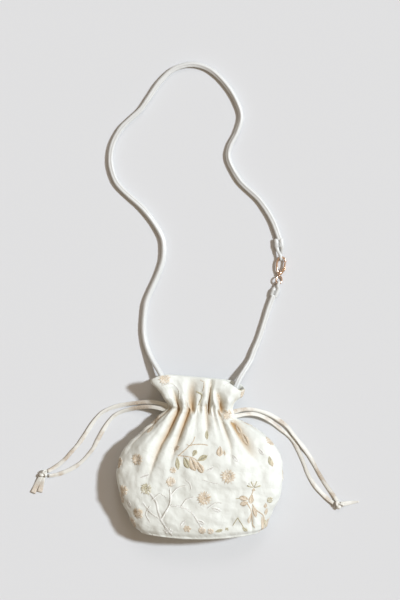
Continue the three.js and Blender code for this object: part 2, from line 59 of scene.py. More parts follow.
def from_photo(column, row, height=0.0):
    """The place in the model, in mm, that a pixel of the photograph shows at a height."""
    flat = np.array([(column - MIDDLE_COLUMN) * PIXEL, (MIDDLE_ROW - row) * PIXEL])
    nearer = (CAMERA[2] - height) / CAMERA[2]
    return CAMERA[:2] + (flat - CAMERA[:2]) * nearer


# Meshes

def in_scene(name, data):
    """A new object of the data, linked to the scene."""
    obj = bpy.data.objects.new(name, data)
    bpy.context.scene.collection.objects.link(obj)
    return obj


def mesh_object(name, points, faces, material, uvs=None, shades=None):
    """A mesh from points in mm. uvs has one pair for each face corner, shades one value a point."""
    mesh = bpy.data.meshes.new(name)
    mesh.from_pydata((np.asarray(points) * MM).tolist(), [], faces)
    if uvs is not None:
        layer = mesh.uv_layers.new(name="cloth")
        layer.data.foreach_set("uv", (np.asarray(uvs) * MM).ravel())
    for key, values in (shades or {}).items():
        attribute = mesh.attributes.new(key, "FLOAT", "POINT")
        attribute.data.foreach_set("value", np.asarray(values, dtype=np.float32))
    mesh.validate()
    mesh.polygons.foreach_set("use_smooth", [True] * len(mesh.polygons))
    mesh.materials.append(material)
    return in_scene(name, mesh)


def unmapped(faces):
    """Corner pairs for a piece whose threads needn't follow its form: all at one place."""
    return np.zeros((sum(len(face) for face in faces), 2))


def grid_faces(rows, columns, ring=False):
    """Quads over a grid of points whose last column joins its first; ring joins the last row too."""
    row = np.arange(rows if ring else rows - 1)[:, None]
    column = np.arange(columns)[None, :]
    above = (row + 1) % rows * columns
    below = row * columns
    beside = (column + 1) % columns
    corners = [below + column, below + beside, above + beside, above + column]
    return np.stack(corners, axis=-1).reshape(-1, 4)


def capped_faces(rows, columns):
    """A grid's quads as lists, with the first and the last row closed by one face each."""
    faces = grid_faces(rows, columns).tolist()
    faces.append(list(range(columns))[::-1])
    faces.append([(rows - 1) * columns + i for i in range(columns)])
    return faces


def grid_uvs(across, along):
    """Corner pairs for a grid: across has one more column than the grid, along one value a row."""
    low, high = along[:-1, None], along[1:, None]
    left, right = across[None, :-1], across[None, 1:]
    pairs = [(left, low), (right, low), (right, high), (left, high)]
    corners = [np.stack(np.broadcast_arrays(u, v), axis=-1) for u, v in pairs]
    return np.stack(corners, axis=2).reshape(-1, 2)


def closed(ring):
    """A ring of points with its first one again at its end."""
    return np.vstack([ring, ring[:1]])


def run_along(line):
    """How far each point of a line is from its start, along the line."""
    return np.concatenate([[0.0], np.cumsum(np.linalg.norm(np.diff(line, axis=0), axis=1))])


def bell(values, middle, half):
    """1 at the middle, and fading to both sides over about a half width."""
    return np.exp(-(((values - middle) / half) ** 2))


def unit(vectors):
    """An array of vectors, each made one long."""
    return vectors / np.linalg.norm(vectors, axis=-1)[..., None]


def smooth_curve(knots, values, places):
    """A curve through the knots that never overshoots them."""
    step = np.diff(knots)
    rise = np.diff(values) / step
    slope = np.zeros(len(knots))
    same = rise[1:] * rise[:-1] > 0
    before, after = 2 * step[1:] + step[:-1], step[1:] + 2 * step[:-1]
    first, second = np.where(same, rise[:-1], 1.0), np.where(same, rise[1:], 1.0)
    slope[1:-1] = np.where(same, (before + after) / (before / first + after / second), 0.0)
    slope[0], slope[-1] = rise[0], rise[-1]
    i = np.clip(np.searchsorted(knots, places, side="right") - 1, 0, len(step) - 1)
    t = (places - knots[i]) / step[i]
    h = step[i]
    return (
        (2 * t**3 - 3 * t**2 + 1) * values[i]
        + (t**3 - 2 * t**2 + t) * h * slope[i]
        + (3 * t**2 - 2 * t**3) * values[i + 1]
        + (t**3 - t**2) * h * slope[i + 1]
    )


def route_curve(points, spacing):
    """A centripetal curve through the points, with even steps of about the spacing."""
    points = np.asarray(points, dtype=float)
    points = np.vstack([2 * points[0] - points[1], points, 2 * points[-1] - points[-2]])
    steps = np.sqrt(np.linalg.norm(np.diff(points, axis=0), axis=1))
    knots = np.concatenate([[0.0], np.cumsum(steps)])

    def blend(first, second, start, end, t):
        return (end - t) / (end - start) * first + (t - start) / (end - start) * second

    fine = []
    for i in range(1, len(points) - 2):
        t = np.linspace(knots[i], knots[i + 1], 24, endpoint=False)[:, None]
        p, k = points[i - 1:i + 3], knots[i - 1:i + 3]
        a = [blend(p[j], p[j + 1], k[j], k[j + 1], t) for j in range(3)]
        b = [blend(a[j], a[j + 1], k[j], k[j + 2], t) for j in range(2)]
        fine.append(blend(b[0], b[1], k[1], k[2], t))
    line = np.vstack([*fine, points[-2:-1]])
    run = run_along(line)
    places = np.linspace(0, run[-1], max(int(round(run[-1] / spacing)), 2) + 1)
    return np.stack([np.interp(places, run, line[:, i]) for i in range(3)], axis=1)


def line_frames(line, twist=0.0):
    """The side and top directions along a line, rolled by twist radians."""
    tangent = unit(np.gradient(line, axis=0))
    side = unit(np.cross([0, 0, 1], tangent))
    top = np.cross(tangent, side)
    roll = np.broadcast_to(twist, len(line))[:, None]
    return side * np.cos(roll) + top * np.sin(roll), top * np.cos(roll) - side * np.sin(roll)


def carried_frames(line, top):
    """The side and top directions along a line that may turn any way, carried on from its start."""
    tangent = unit(np.gradient(line, axis=0))
    tops = []
    for way in tangent:
        top = top - way * np.dot(top, way)
        top = top / np.linalg.norm(top)
        tops.append(top)
    return np.cross(tops, tangent), np.array(tops)


def swept(line, frames, sections):
    """A closed tube: sections has, for each point of the line, its outline as side and top pairs."""
    side, top = frames
    sections = np.asarray(sections)
    points = line[:, None] + side[:, None] * sections[..., :1] + top[:, None] * sections[..., 1:]
    return points.reshape(-1, 3), capped_faces(*sections.shape[:2])


def oval(sides, half_across, half_up, squareness=2.0):
    """An oval outline; a squareness over 2 fills its corners."""
    angle = np.arange(sides) / sides * 2 * np.pi
    power = 2 / squareness
    across = np.sign(np.cos(angle)) * np.abs(np.cos(angle)) ** power
    up = np.sign(np.sin(angle)) * np.abs(np.sin(angle)) ** power
    return np.stack([across * half_across, up * half_up], axis=-1)


def join_shapes(shapes):
    """One list of points and faces from several."""
    points, faces, start = [], [], 0
    for shape_points, shape_faces in shapes:
        points.append(np.asarray(shape_points))
        faces += [[i + start for i in face] for face in shape_faces]
        start += len(shape_points)
    return np.vstack(points), faces


# Materials

def linear(colour):
    """A colour such as #F4F1E8 as linear red, green, blue and alpha."""
    parts = [int(colour[i:i + 2], 16) / 255 for i in (1, 3, 5)]
    return [p / 12.92 if p <= 0.04045 else ((p + 0.055) / 1.055) ** 2.4 for p in parts] + [1.0]


def feed(tree, node, inputs):
    """Gives a node its inputs, as values or as the sockets that feed them."""
    for name, value in inputs.items():
        if isinstance(value, bpy.types.NodeSocket):
            tree.links.new(value, node.inputs[name])
        else:
            node.inputs[name].default_value = value


def add(tree, kind, inputs=None, **settings):
    """A node with its settings and inputs."""
    node = tree.nodes.new("ShaderNode" + kind)
    for name, value in settings.items():
        setattr(node, name, value)
    feed(tree, node, inputs or {})
    return node


def lumps(tree, place, size, detail=2.0, distortion=0.0):
    """Noise with lumps of about a size in mm."""
    inputs = {"Vector": place, "Scale": 1 / (size * MM), "Detail": detail, "Distortion": distortion}
    return add(tree, "TexNoise", inputs).outputs["Fac"]


def blended(tree, share, first, second):
    """A colour some share of the way from the first, a socket or a colour, to the second."""
    first = linear(first) if isinstance(first, str) else first
    return add(tree, "Mix", {0: share, 6: first, 7: linear(second)}, data_type="RGBA").outputs[2]


def ranged(tree, value, low, high, start=0.0, end=1.0):
    """A value between start and end, brought between low and high."""
    inputs = {"Value": value, "From Min": start, "From Max": end, "To Min": low, "To Max": high}
    return add(tree, "MapRange", inputs).outputs[0]


def raised(tree, height, distance, strength, under=None):
    """Bumps of a distance in mm, on those under them."""
    inputs = {"Height": height, "Distance": distance * MM, "Strength": strength}
    if under is not None:
        inputs["Normal"] = under
    return add(tree, "Bump", inputs).outputs[0]


def new_material(name):
    """A material, its nodes and the socket of places on the object."""
    material = bpy.data.materials.new(name)
    material.use_nodes = True
    tree = material.node_tree
    return material, tree, add(tree, "TexCoord").outputs["Object"]


def finished(material, inputs):
    """The material with its surface's inputs."""
    tree = material.node_tree
    feed(tree, tree.nodes["Principled BSDF"], inputs)
    return material


def woven_ivory_cloth():
    """Polyester satin, woven and piece-dyed ivory: a soft matt face with a little sheen, faint
    threads and small crumples. Deep in its folds a warm tan is painted in as shade."""
    material, tree, place = new_material("woven_ivory_cloth")
    cloth = add(tree, "UVMap", uv_map="cloth").outputs["UV"]
    # fold: how much painted shade a point takes from lying deep in a fold.
    fold = add(tree, "Attribute", attribute_name="fold").outputs["Fac"]
    ivory = blended(tree, lumps(tree, place, 45, detail=3.0), "#D9DAD1", "#E1E2DB")
    # The real threads lie 0.12 mm apart; they are drawn at 1.1 mm so that they show.
    wave = {"Vector": cloth, "Scale": 1 / (1.1 * MM) / 20, "Distortion": 0.6, "Detail": 1.0}
    threads = [add(tree, "TexWave", wave, bands_direction=way).outputs["Fac"] for way in ("X", "Y")]
    weave = add(tree, "Math", {0: threads[0], 1: threads[1]}, operation="MULTIPLY").outputs[0]
    crumple = lumps(tree, place, 7, detail=4.0, distortion=0.6)
    return finished(material, {
        # Painted shade: the colour is drawn towards a warm tan deep in the folds.
        "Base Color": blended(tree, fold, ivory, "#B99C74"),
        "Roughness": ranged(tree, crumple, 0.5, 0.66),
        "IOR": 1.53,
        "Specular IOR Level": 0.3,
        "Sheen Weight": 0.12,
        "Sheen Roughness": 0.4,
        "Normal": raised(tree, weave, 0.12, 0.5, under=raised(tree, crumple, 1.3, 0.6)),
    })


def rolled_satin_cord():
    """Polyester satin cut on the bias, rolled and sewn into a cord: smooth and glossy along its
    length, with fine slanting threads and small wrinkles."""
    material, tree, place = new_material("rolled_satin_cord")
    cloth = add(tree, "UVMap", uv_map="cloth").outputs["UV"]
    slant = add(tree, "Mapping", {"Vector": cloth, "Rotation": (0, 0, math.radians(45))}).outputs[0]
    wave = {"Vector": slant, "Scale": 1 / (0.9 * MM) / 20, "Distortion": 0.4}
    threads = add(tree, "TexWave", wave).outputs["Fac"]
    wrinkle = lumps(tree, place, 5, detail=3.0)
    return finished(material, {
        "Base Color": blended(tree, wrinkle, "#D0D0CC", "#D8D8D5"),
        "Roughness": ranged(tree, wrinkle, 0.32, 0.48),
        "IOR": 1.53,
        "Sheen Weight": 0.15,
        "Sheen Roughness": 0.35,
        "Normal": raised(tree, threads, 0.08, 0.4, under=raised(tree, wrinkle, 0.5, 0.4)),
    })


def folded_cloth_strip():
    """The bag's own cloth, cut in a strip, folded and sewn shut: ivory, with specks of the
    embroidery's tan thread where a motif was cut through."""
    material, tree, place = new_material("folded_cloth_strip")
    speck = lumps(tree, place, 16)
    amount = ranged(tree, speck, 0.0, 0.95, start=0.5, end=0.66)
    threads = lumps(tree, place, 1.6)
    stitched = add(tree, "Math", {0: amount, 1: threads}, operation="MULTIPLY").outputs[0]
    return finished(material, {
        "Base Color": blended(tree, stitched, "#D9D6CD", "#A2835C"),
        "Roughness": ranged(tree, threads, 0.45, 0.62),
        "IOR": 1.53,
        "Sheen Weight": 0.2,
        "Sheen Roughness": 0.4,
        "Normal": raised(tree, threads, 0.3, 0.5, under=raised(tree, speck, 0.8, 0.5)),
    })


def rayon_thread(name, light, dark):
    """Twisted rayon embroidery thread: glossy along each strand, no two strands quite alike."""
    material, tree, place = new_material(name)
    tone = add(tree, "Attribute", attribute_name="tone").outputs["Fac"]
    twist = lumps(tree, place, 0.5)
    return finished(material, {
        "Base Color": blended(tree, tone, light, dark),
        "Roughness": ranged(tree, twist, 0.3, 0.5),
        "IOR": 1.54,
        "Sheen Weight": 0.1,
        "Normal": raised(tree, twist, 0.1, 0.5),
    })


def gold_plated_zinc():
    """Die-cast zinc, polished and plated in pale rose gold: bright, with a faint haze of handling."""
    material, tree, place = new_material("gold_plated_zinc")
    haze = lumps(tree, place, 2.5, detail=4.0)
    return finished(material, {
        "Base Color": blended(tree, haze, "#F6DECB", "#EAC6AA"),
        "Metallic": 1.0,
        "Roughness": ranged(tree, haze, 0.14, 0.28),
        "Normal": raised(tree, haze, 0.04, 0.3),
    })


def matt_paper():
    """The backdrop: pale grey uncoated paper."""
    material, tree, place = new_material("matt_paper")
    pulp = lumps(tree, place, 1.5, detail=4.0)
    return finished(material, {
        "Base Color": blended(tree, pulp, "#CFCFCF", "#D2D2D2"),
        "Roughness": 0.9,
        "Normal": raised(tree, pulp, 0.05, 0.1),
    })


cloth_finish = woven_ivory_cloth()
satin_finish = rolled_satin_cord()
strip_finish = folded_cloth_strip()
tan_thread = rayon_thread("tan_rayon_thread", "#DFD2BE", "#C6B294")
olive_thread = rayon_thread("olive_rayon_thread", "#CBC4A8", "#B1A786")
white_thread = rayon_thread("white_rayon_thread", "#EAE9E4", "#DFDCD2")
metal_finish = gold_plated_zinc()


# Camera, light and floor

# Lights: name, azimuth from +X, elevation and spread in degrees, strength and colour.
LIGHTS = [
    ("key_light", 17, 48.5, 6, 3.73, "#ECF5FF"),
    ("top_light", 82, 48, 20, 0.3, "#F6F8FF"),
]
AIR_COLOUR = "#FFE8CC"
AIR_BELOW, AIR_ABOVE = 0.14, 0.47
LIGHT_AWAY_M = 3
FLOOR_HALF_M = 9.0
VIEW_END_M = 40


def add_light(name, azimuth, elevation, spread, strength, colour):
    """An even light from one side."""
    light = bpy.data.lights.new(name, "SUN")
    light.angle = math.radians(spread)
    light.energy = strength
    light.color = linear(colour)[:3]
    across, up = math.radians(azimuth), math.radians(elevation)
    source = Vector((math.cos(up) * math.cos(across), math.cos(up) * math.sin(across), math.sin(up)))
    obj = in_scene(name, light)
    obj.location = source * LIGHT_AWAY_M
    obj.rotation_euler = (-source).to_track_quat("-Z", "Y").to_euler()


def studio():
    scene = bpy.context.scene
    scene.view_settings.view_transform = "Standard"
    camera = bpy.data.cameras.new("camera")
    camera.sensor_fit = "VERTICAL"
    camera.sensor_height = 36
    camera.lens = camera.sensor_height * CAMERA[2] / (PHOTO_HEIGHT * PIXEL)
    camera.clip_end = VIEW_END_M
    scene.camera = in_scene("camera", camera)
    scene.camera.location = CAMERA * MM

    corners = np.array([(-1, -1, 0), (1, -1, 0), (1, 1, 0), (-1, 1, 0)]) * FLOOR_HALF_M / MM
    mesh_object("floor", corners, [(0, 1, 2, 3)], matt_paper())
    for light in LIGHTS:
        add_light(*light)

    world = bpy.data.worlds.new("studio_air")
    world.use_nodes = True
    # The air is darkest low down, which is what gives polished metal its dark edges.
    tree = world.node_tree
    way = add(tree, "TexCoord").outputs["Generated"]
    height = add(tree, "SeparateXYZ", {0: way}).outputs["Z"]
    glow = ranged(tree, height, AIR_BELOW, AIR_ABOVE)
    feed(tree, tree.nodes["Background"], {"Color": linear(AIR_COLOUR), "Strength": glow})
    scene.world = world


studio()


# Cords

STRAP_DIAMETER = 6.3
DRAWSTRING_WIDTH = 4.6
DRAWSTRING_THICKNESS = 1.8
# How far each length of the strap reaches into the sewn end that it is doubled back into.
STRAP_SEWN_IN = 3.0
# How far a drawstring is drawn on into the casing past the slit that it comes out of.
CASING_REACH = 4.0
# The heights of a cord's and a strip's middle where they lie on the floor.
CORD_REST, STRIP_REST = 3.2, 1.2
CORD_STEP = 1.6
# The strap's outline: its sides, and its seam's groove as a share of the radius and in radians.
STRAP_SIDES, GROOVE_DEPTH, GROOVE_WIDTH = 22, 0.3, 0.36
# How far a folded strip's open edge lies below its top.
STRIP_STEP = 0.55


def with_heights(rest, points):
    """Points of a route; one with no height of its own lies at rest."""
    return [[*point, rest][:3] for point in points]


STRAP_LONG = with_heights(CORD_REST, [
    [-30.8, 62.6, 14.5], [-33.9, 70.5, 14.0], [-38.2, 81.4, 13.2], [-42.9, 91.7, 12.0],
    [-47.9, 100.6, 9.9], [-54.1, 110.9, 6.6], [-59, 121.6, 4.3], [-62.4, 133.1, 3.4], [-63.8, 144.6],
    [-62.4, 167.6], [-60.1, 179.1], [-50, 202.1], [-45.2, 213.6], [-41.7, 225.1], [-40.6, 236.6],
    [-41.7, 248.1], [-46.6, 259.6], [-63, 282.6], [-88.9, 306.8], [-96.4, 317.1], [-101.9, 337.2],
    [-99.6, 357.2], [-90, 375.6], [-78.6, 387.2], [-67.6, 397.4], [-57.7, 411.4], [-45.4, 429.4],
    [-29.1, 444.3], [-7.9, 449.8], [11, 444.6], [29.7, 428], [41.9, 409.3], [48, 390.1], [43.1, 371.2],
    [35.2, 355.5], [33.4, 343], [46.2, 317.1], [69.2, 294.1], [84.0, 271.1], [91.6, 250.9, 3.6],
])
STRAP_SHORT = with_heights(CORD_REST, [
    [34.3, 60.2, 13.9], [37.3, 68.6, 13.5], [41.6, 79.0, 12.8], [46.2, 89.4, 11.6], [52.6, 99.6, 9.0],
    [58.9, 110.1, 5.4], [63.4, 122.0, 3.9], [68.1, 133.1, 3.3], [74.6, 153], [79.6, 169],
    [84.4, 182.0, 3.6],
])
LEFT_OUTER = with_heights(STRIP_REST, [
    [-37.2, 58.6, 16.2], [-46, 61.4, 15.4], [-56.7, 62.6, 12.6], [-68.2, 61.8, 8.0], [-79.7, 60.1, 3.9],
    [-91.2, 58.0, 1.7], [-102.7, 54.4], [-111, 50], [-117.6, 43.8], [-123.4, 36], [-129.1, 27.3],
    [-134.9, 18.6], [-140.6, 11.2], [-147.5, 3.7], [-153.3, -2.9], [-160.2, -9], [-167.1, -13.8, 1.5],
    [-173.9, -17.8, 3.0],
])
LEFT_INNER = with_heights(STRIP_REST, [
    [-40.5, 54.3, 15.6], [-48, 56.0, 14.4], [-56.7, 57.0, 12.0], [-68.2, 56, 7.2], [-79.7, 53.6, 3.1],
    [-90, 50.3, 1.4], [-97.4, 46], [-103.3, 40], [-108.4, 32.6], [-113, 25], [-117.4, 16.8],
    [-121.1, 9.6], [-125.7, 3.6], [-131.4, -3.1], [-138.3, -9.4], [-146, -14.4], [-155, -18.6],
    [-163.5, -21.6, 1.3], [-173.0, -22.9, 2.6],
])
RIGHT_UPPER = with_heights(STRIP_REST, [
    [40.1, 51.5, 15.6], [49, 53.6, 14.8], [58.3, 54, 12.4], [69.8, 51.8, 8.2], [81.3, 47.4, 4.2],
    [92.8, 40.4, 2.0], [101.4, 33.4, 2.4], [108.2, 24.6, 3.5], [114, 17.2, 3.5], [120, 9.4, 2.0],
    [125.6, 1.6], [130.8, -7.2], [136, -17.3], [141.8, -27.4], [147.8, -36.5], [153.4, -44.2, 1.6],
    [158.3, -51.4, 2.8],
])
RIGHT_LOWER = with_heights(STRIP_REST, [
    [43.4, 46.6, 14.8], [53, 48.2, 12.8], [64, 48.2, 8.6], [75.4, 44, 4.4], [83.6, 38.8, 2.0],
    [92.4, 31.6], [101.4, 24.6], [108, 17.8], [112.7, 8.6], [116.4, 0.6], [121, -10.8], [124.8, -20.6],
    [129, -28.4], [134.4, -35.8], [141.1, -43.2], [148, -49.8, 1.4], [154.9, -54.7, 2.6],
])


def cord_piece(name, line, frames, sections, material):
    """A swept piece with its cloth coordinates: round the section, and along the line."""
    points, faces = swept(line, frames, sections)
    cap_corners = 2 * sections.shape[1]
    uvs = grid_uvs(run_along(closed(sections[0])), run_along(line))
    return mesh_object(name, points, faces, material, uvs=np.vstack([uvs, np.zeros((cap_corners, 2))]))


def strap_section(roll):
    """A round cord with the groove of its lengthwise seam."""
    angle = np.arange(STRAP_SIDES) / STRAP_SIDES * 2 * np.pi
    off = (angle - roll + np.pi) % (2 * np.pi) - np.pi
    return oval(STRAP_SIDES, 1.0, 1.0) * (1 - GROOVE_DEPTH * bell(off, 0, GROOVE_WIDTH))[:, None]


def strap_piece(name, route, roll_start):
    """A length of the strap: slightly uneven in thickness, its seam wandering round it."""
    last, before = np.array(route[-1]), np.array(route[-2])
    sewn_in = last + (last - before) / np.linalg.norm(last - before) * STRAP_SEWN_IN
    line = route_curve([*route, sewn_in], CORD_STEP)
    run = np.arange(len(line)) * CORD_STEP
    radius = STRAP_DIAMETER / 2 * (1 + 0.02 * np.sin(run / 9.0) + 0.015 * np.sin(run / 3.7 + 1))
    rolls = roll_start + 0.5 * np.sin(run / 70.0)
    sections = np.array([strap_section(roll) * r for roll, r in zip(rolls, radius)])
    return cord_piece(name, line, line_frames(line), sections, satin_finish)


def strip_section():
    """A flat strip folded in three, with the step of its open edge along the top."""
    half, thick = DRAWSTRING_WIDTH / 2, DRAWSTRING_THICKNESS / 2
    section = oval(16, half, thick, squareness=2.6)
    stepped_down = (section[:, 1] > 0) & (section[:, 0] > 0.1 * half)
    section[:, 1] -= np.where(stepped_down, STRIP_STEP, 0.0)
    return section


def drawn_route(route):
    """A drawstring's route with the stretch inside the casing that its slit lets one see."""
    first, second = np.array(route[0]), np.array(route[1])
    back = (first - second) / np.linalg.norm(first - second)
    return [first + back * CASING_REACH, *route]


def drawstring_piece(name, route, phase):
    """A drawstring that turns and narrows a little along its way, from a phase of its own."""
    line = route_curve(drawn_route(route), CORD_STEP)
    run = np.arange(len(line)) * CORD_STEP
    twist = 0.42 * np.sin(run / 21.0 + phase) * np.minimum(1, run / 20)
    width = 1 + 0.07 * np.sin(run / 8.0 + phase) + 0.04 * np.sin(run / 3.1)
    sections = np.array([strip_section() * [w, 1] for w in width])
    return cord_piece(name, line, line_frames(line, twist), sections, strip_finish)


strap_long = strap_piece("strap_cord_long", STRAP_LONG, 1.9)
strap_short = strap_piece("strap_cord_short", STRAP_SHORT, 1.2)
strings = {
    "left_outer": drawstring_piece("string_left_outer", LEFT_OUTER, 0.3),
    "left_inner": drawstring_piece("string_left_inner", LEFT_INNER, 1.9),
    "right_upper": drawstring_piece("string_right_upper", RIGHT_UPPER, 0.8),
    "right_lower": drawstring_piece("string_right_lower", RIGHT_LOWER, 2.6),
}

# Knots: the ball's half sizes, each one's middle, and each tail as points with the strip's half width.
KNOT_HALF = np.array([5.2, 4.8, 3.4])
# The strip's half width and half thickness in a knot's ball, and its half thickness in a tail.
WOUND_HALF, TAIL_HALF_THICK = (2.0, 1.0), 0.7
TAIL_LOWEST = 0.8
LEFT_KNOT = np.array([-178.6, -20.2, 3.7])
RIGHT_KNOT = np.array([160.4, -56.4, 3.7])
LEFT_TAILS = [
    [(-180.5, -21.5, 2.8, 2.2), (-186, -31, 1.4, 2.7), (-191, -42.5, 1.2, 3.0)],
    [(-178.5, -22.5, 2.6, 2.2), (-181, -32, 1.6, 2.7), (-183.4, -41.5, 1.0, 3.0)],
]
RIGHT_TAILS = [
    [(162.5, -55.6, 2.8, 3.0), (172, -54.2, 1.4, 2.4), (183.5, -52.6, 1.0, 1.0)],
]


def turned(points, angle):
    """Points turned about the vertical."""
    c, s = math.cos(angle), math.sin(angle)
    return np.asarray(points) @ np.array([[c, s, 0], [-s, c, 0], [0, 0, 1]])


def knot_piece(name, centre, tails, lean):
    """An overhand knot: a strip wound three times round, with tails fanned out flat."""
    turn = np.linspace(0, 2 * np.pi, 90, endpoint=False)
    loop = np.stack([
        np.sin(turn) + 1.6 * np.sin(2 * turn),
        np.cos(turn) - 1.6 * np.cos(2 * turn),
        -1.5 * np.sin(3 * turn),
    ], axis=1)
    half_sizes = [2.6, 2.6, 1.5]
    loop = turned(loop, lean) / half_sizes * (KNOT_HALF - 1.3) + centre
    line = closed(loop)
    frames = carried_frames(line, np.array([0.2, 0.1, 1.0]))
    strip = np.broadcast_to(oval(12, *WOUND_HALF, 2.4), (len(line), 12, 2))
    shapes = [swept(line, frames, strip)]
    for tail in tails:
        tail = np.array(tail)
        line = route_curve(tail[:, :3], 1.2)
        share = np.linspace(0, 1, len(line))
        half = np.interp(share, np.linspace(0, 1, len(tail)), tail[:, 3])
        line[:, 2] += 0.5 * np.sin(share * 7)
        line[:, 2] = np.maximum(line[:, 2], TAIL_LOWEST)
        twist = 0.15 * np.sin(share * 5)
        sections = np.array([oval(12, h, TAIL_HALF_THICK, 3.2) for h in half])
        shapes.append(swept(line, line_frames(line, twist), sections))
    points, faces = join_shapes(shapes)
    return mesh_object(name, points, faces, strip_finish, uvs=unmapped(faces))


knot_left = knot_piece("tied_knot_left", LEFT_KNOT, LEFT_TAILS, 0.6)
knot_right = knot_piece("tied_knot_right", RIGHT_KNOT, RIGHT_TAILS, -0.5)

# Clasp, in a frame of its own: +Y runs along it from the short strap to the long one.
CLASP_PLACE = np.array([92.4, 209.6, 3.9])
CLASP_TURN = math.radians(-7)
WIRE_RADIUS = 1.3
COLLAR_HALF = 1.75
RUNNING_GAP = 0.3
EYE_RISE, EYE_WIRE = 3.4, 1.0
EYE_MIDDLE = -COLLAR_HALF - RUNNING_GAP - EYE_WIRE - EYE_RISE - EYE_WIRE
EYE_FAR_SIDE = EYE_MIDDLE - EYE_RISE - EYE_WIRE + 0.3
# Loops: where the wire is and its radius, and the limbs' lean in degrees, their length and half width.
LONG_LOOP = {"x": -1.1, "y": 18.45, "wire": WIRE_RADIUS, "lean": 14, "reach": 22, "half": 5.6}
SHORT_LOOP = {
    "x": 0.0, "y": EYE_FAR_SIDE, "wire": EYE_WIRE, "lean": 180 - 14.7, "reach": 16.5, "half": 4.6,
}
LOOP_SLACK = 1.1
LOOP_WALL = 1.5
WHIPPING_TURNS = 5


def strap_end(name, loop):
    """The strap's end taken round the wire, laid back beside itself and whipped with thread."""
    around = loop["wire"] + LOOP_SLACK + LOOP_WALL / 2
    limb = loop["half"] / 2 + 0.05
    reach = loop["reach"]
    start = [
        (-limb, reach, 0), (-limb, reach * 0.75, 0), (-limb, reach * 0.52, 0.2),
        (-limb * 0.75, reach * 0.33, around * 0.45), (-0.3, 3.2, around * 0.92),
    ]
    turns = np.radians([75, 50, 25, 0, -25, -50, -75])
    arc = [(0, -around * math.cos(turn), around * math.sin(turn)) for turn in turns]
    end = [(-x, y, -z) for x, y, z in reversed(start)]
    line = route_curve([*start, *arc, *end], 0.7)
    # Flat where it turns round the wire, round where it is sewn, and drawn in at its tips.
    share = np.abs(np.linspace(-1, 1, len(line)))
    knots = [0, 0.25, 0.5, 0.7, 0.97, 1]
    sewn = [limb * 0.98, limb * 0.95, limb * 0.6]
    thick = np.interp(share, knots, [0.75, 0.75, 1.5, *sewn])
    wide = np.interp(share, knots, [1.5, 1.5, 1.9, *sewn])
    sections = np.array([oval(16, w, t) for w, t in zip(wide, thick)])
    shapes = [swept(line, carried_frames(line, np.array([0.0, 0.0, 1.0])), sections)]
    ring = oval(40, limb * 2 + 0.1, limb * 0.98, 2.6)
    sway = 0.25 * np.sin(np.linspace(0, 2 * np.pi, 40))
    thread = np.broadcast_to(oval(6, 0.28, 0.28), (41, 6, 2))
    for i in range(WHIPPING_TURNS):
        line = closed(np.stack([ring[:, 0], reach * 0.55 + i * 1.0 + sway, ring[:, 1]], axis=1))
        shapes.append(swept(line, carried_frames(line, np.array([0.0, 1.0, 0.0])), thread))
    points, faces = join_shapes(shapes)
    points = turned(points, math.radians(loop["lean"])) + [loop["x"], loop["y"], 0]
    points = turned(points, CLASP_TURN) + CLASP_PLACE
    return mesh_object(name, points, faces, satin_finish, uvs=unmapped(faces))


end_long = strap_end("sewn_end_long", LONG_LOOP)
end_short = strap_end("sewn_end_short", SHORT_LOOP)

# The size of the cubes that a cast piece is formed again from, and how often it is then smoothed.
GRAIN = 0.22
POLISH = 7


def cast_piece(name, node):
    """A die-cast piece over its node's own form, with its edges and facets polished round."""
    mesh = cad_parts[node].data.copy()
    mesh.materials.clear()
    rough = in_scene(name + "_rough", mesh)
    remesh = rough.modifiers.new("cast", "REMESH")
    remesh.mode = "VOXEL"
    remesh.voxel_size = GRAIN * MM
    polish = rough.modifiers.new("polish", "SMOOTH")
    polish.factor = 0.5
    polish.iterations = POLISH
    scene_graph = bpy.context.evaluated_depsgraph_get()
    smooth = bpy.data.meshes.new_from_object(rough.evaluated_get(scene_graph))
    bpy.data.objects.remove(rough)
    smooth.name = name
    smooth.polygons.foreach_set("use_smooth", [True] * len(smooth.polygons))
    smooth.materials.clear()
    smooth.materials.append(metal_finish)
    return in_scene(name, smooth)


cast_hook = cast_piece("cast_hook", "hook_body")
cast_lever = cast_piece("cast_lever", "hook_gate")
cast_eye = cast_piece("cast_eye", "swivel_eye")


# The pouch

# Stations: y, half widths to the left and right, and heights of the front, the back and the sides.
BASE = (-92.4, 66, 68, 38, 0, 17)
BELLY = (-24, 95.6, 95.5, 48, 0, 21)
NECK = (53, 36, 39, 31, 5.5, 18)
MOUTH = (90.3, 54, 52.3, 31, 4, 21)
# Columns: share of the way to the next station, then of the change in left, right, front and back.
BASE_TO_BELLY = [
    (0.0, 0.0, 0.0, 0.0, 0), (0.02, 0.03, 0.03, 0.04, 0), (0.1, 0.27, 0.33, 0.42, 0),
    (0.22, 0.42, 0.42, 0.68, 0), (0.38, 0.56, 0.57, 0.84, 0), (0.58, 0.75, 0.78, 0.95, 0),
    (0.79, 0.91, 0.93, 1.0, 0),
]
BELLY_TO_NECK = [
    (0.0, 0.0, 0.0, 0.0, 0.0), (0.18, 0.04, 0.01, 0.03, 0.0), (0.34, 0.13, 0.04, 0.11, 0.0),
    (0.48, 0.26, 0.12, 0.22, 0.0), (0.6, 0.42, 0.24, 0.36, 0.05), (0.71, 0.56, 0.4, 0.51, 0.15),
    (0.81, 0.73, 0.59, 0.67, 0.33), (0.89, 0.84, 0.82, 0.82, 0.6), (0.95, 0.93, 0.97, 0.94, 0.85),
]
NECK_TO_MOUTH = [
    (0.0, 0.0, 0.0, 0.0, 0.0), (0.12, 0.02, 0.02, 0.0, 0.0), (0.26, 0.14, 0.08, 0.2, 0.15),
    (0.45, 0.36, 0.35, 0.5, 0.4), (0.65, 0.62, 0.78, 0.8, 0.65), (0.84, 0.93, 0.95, 1.0, 0.85),
    (1.0, 1.0, 1.0, 1.0, 1.0),
]
BASE_SQUARENESS, NECK_SQUARENESS, MOUTH_SQUARENESS = 2.8, 2.4, 3.6
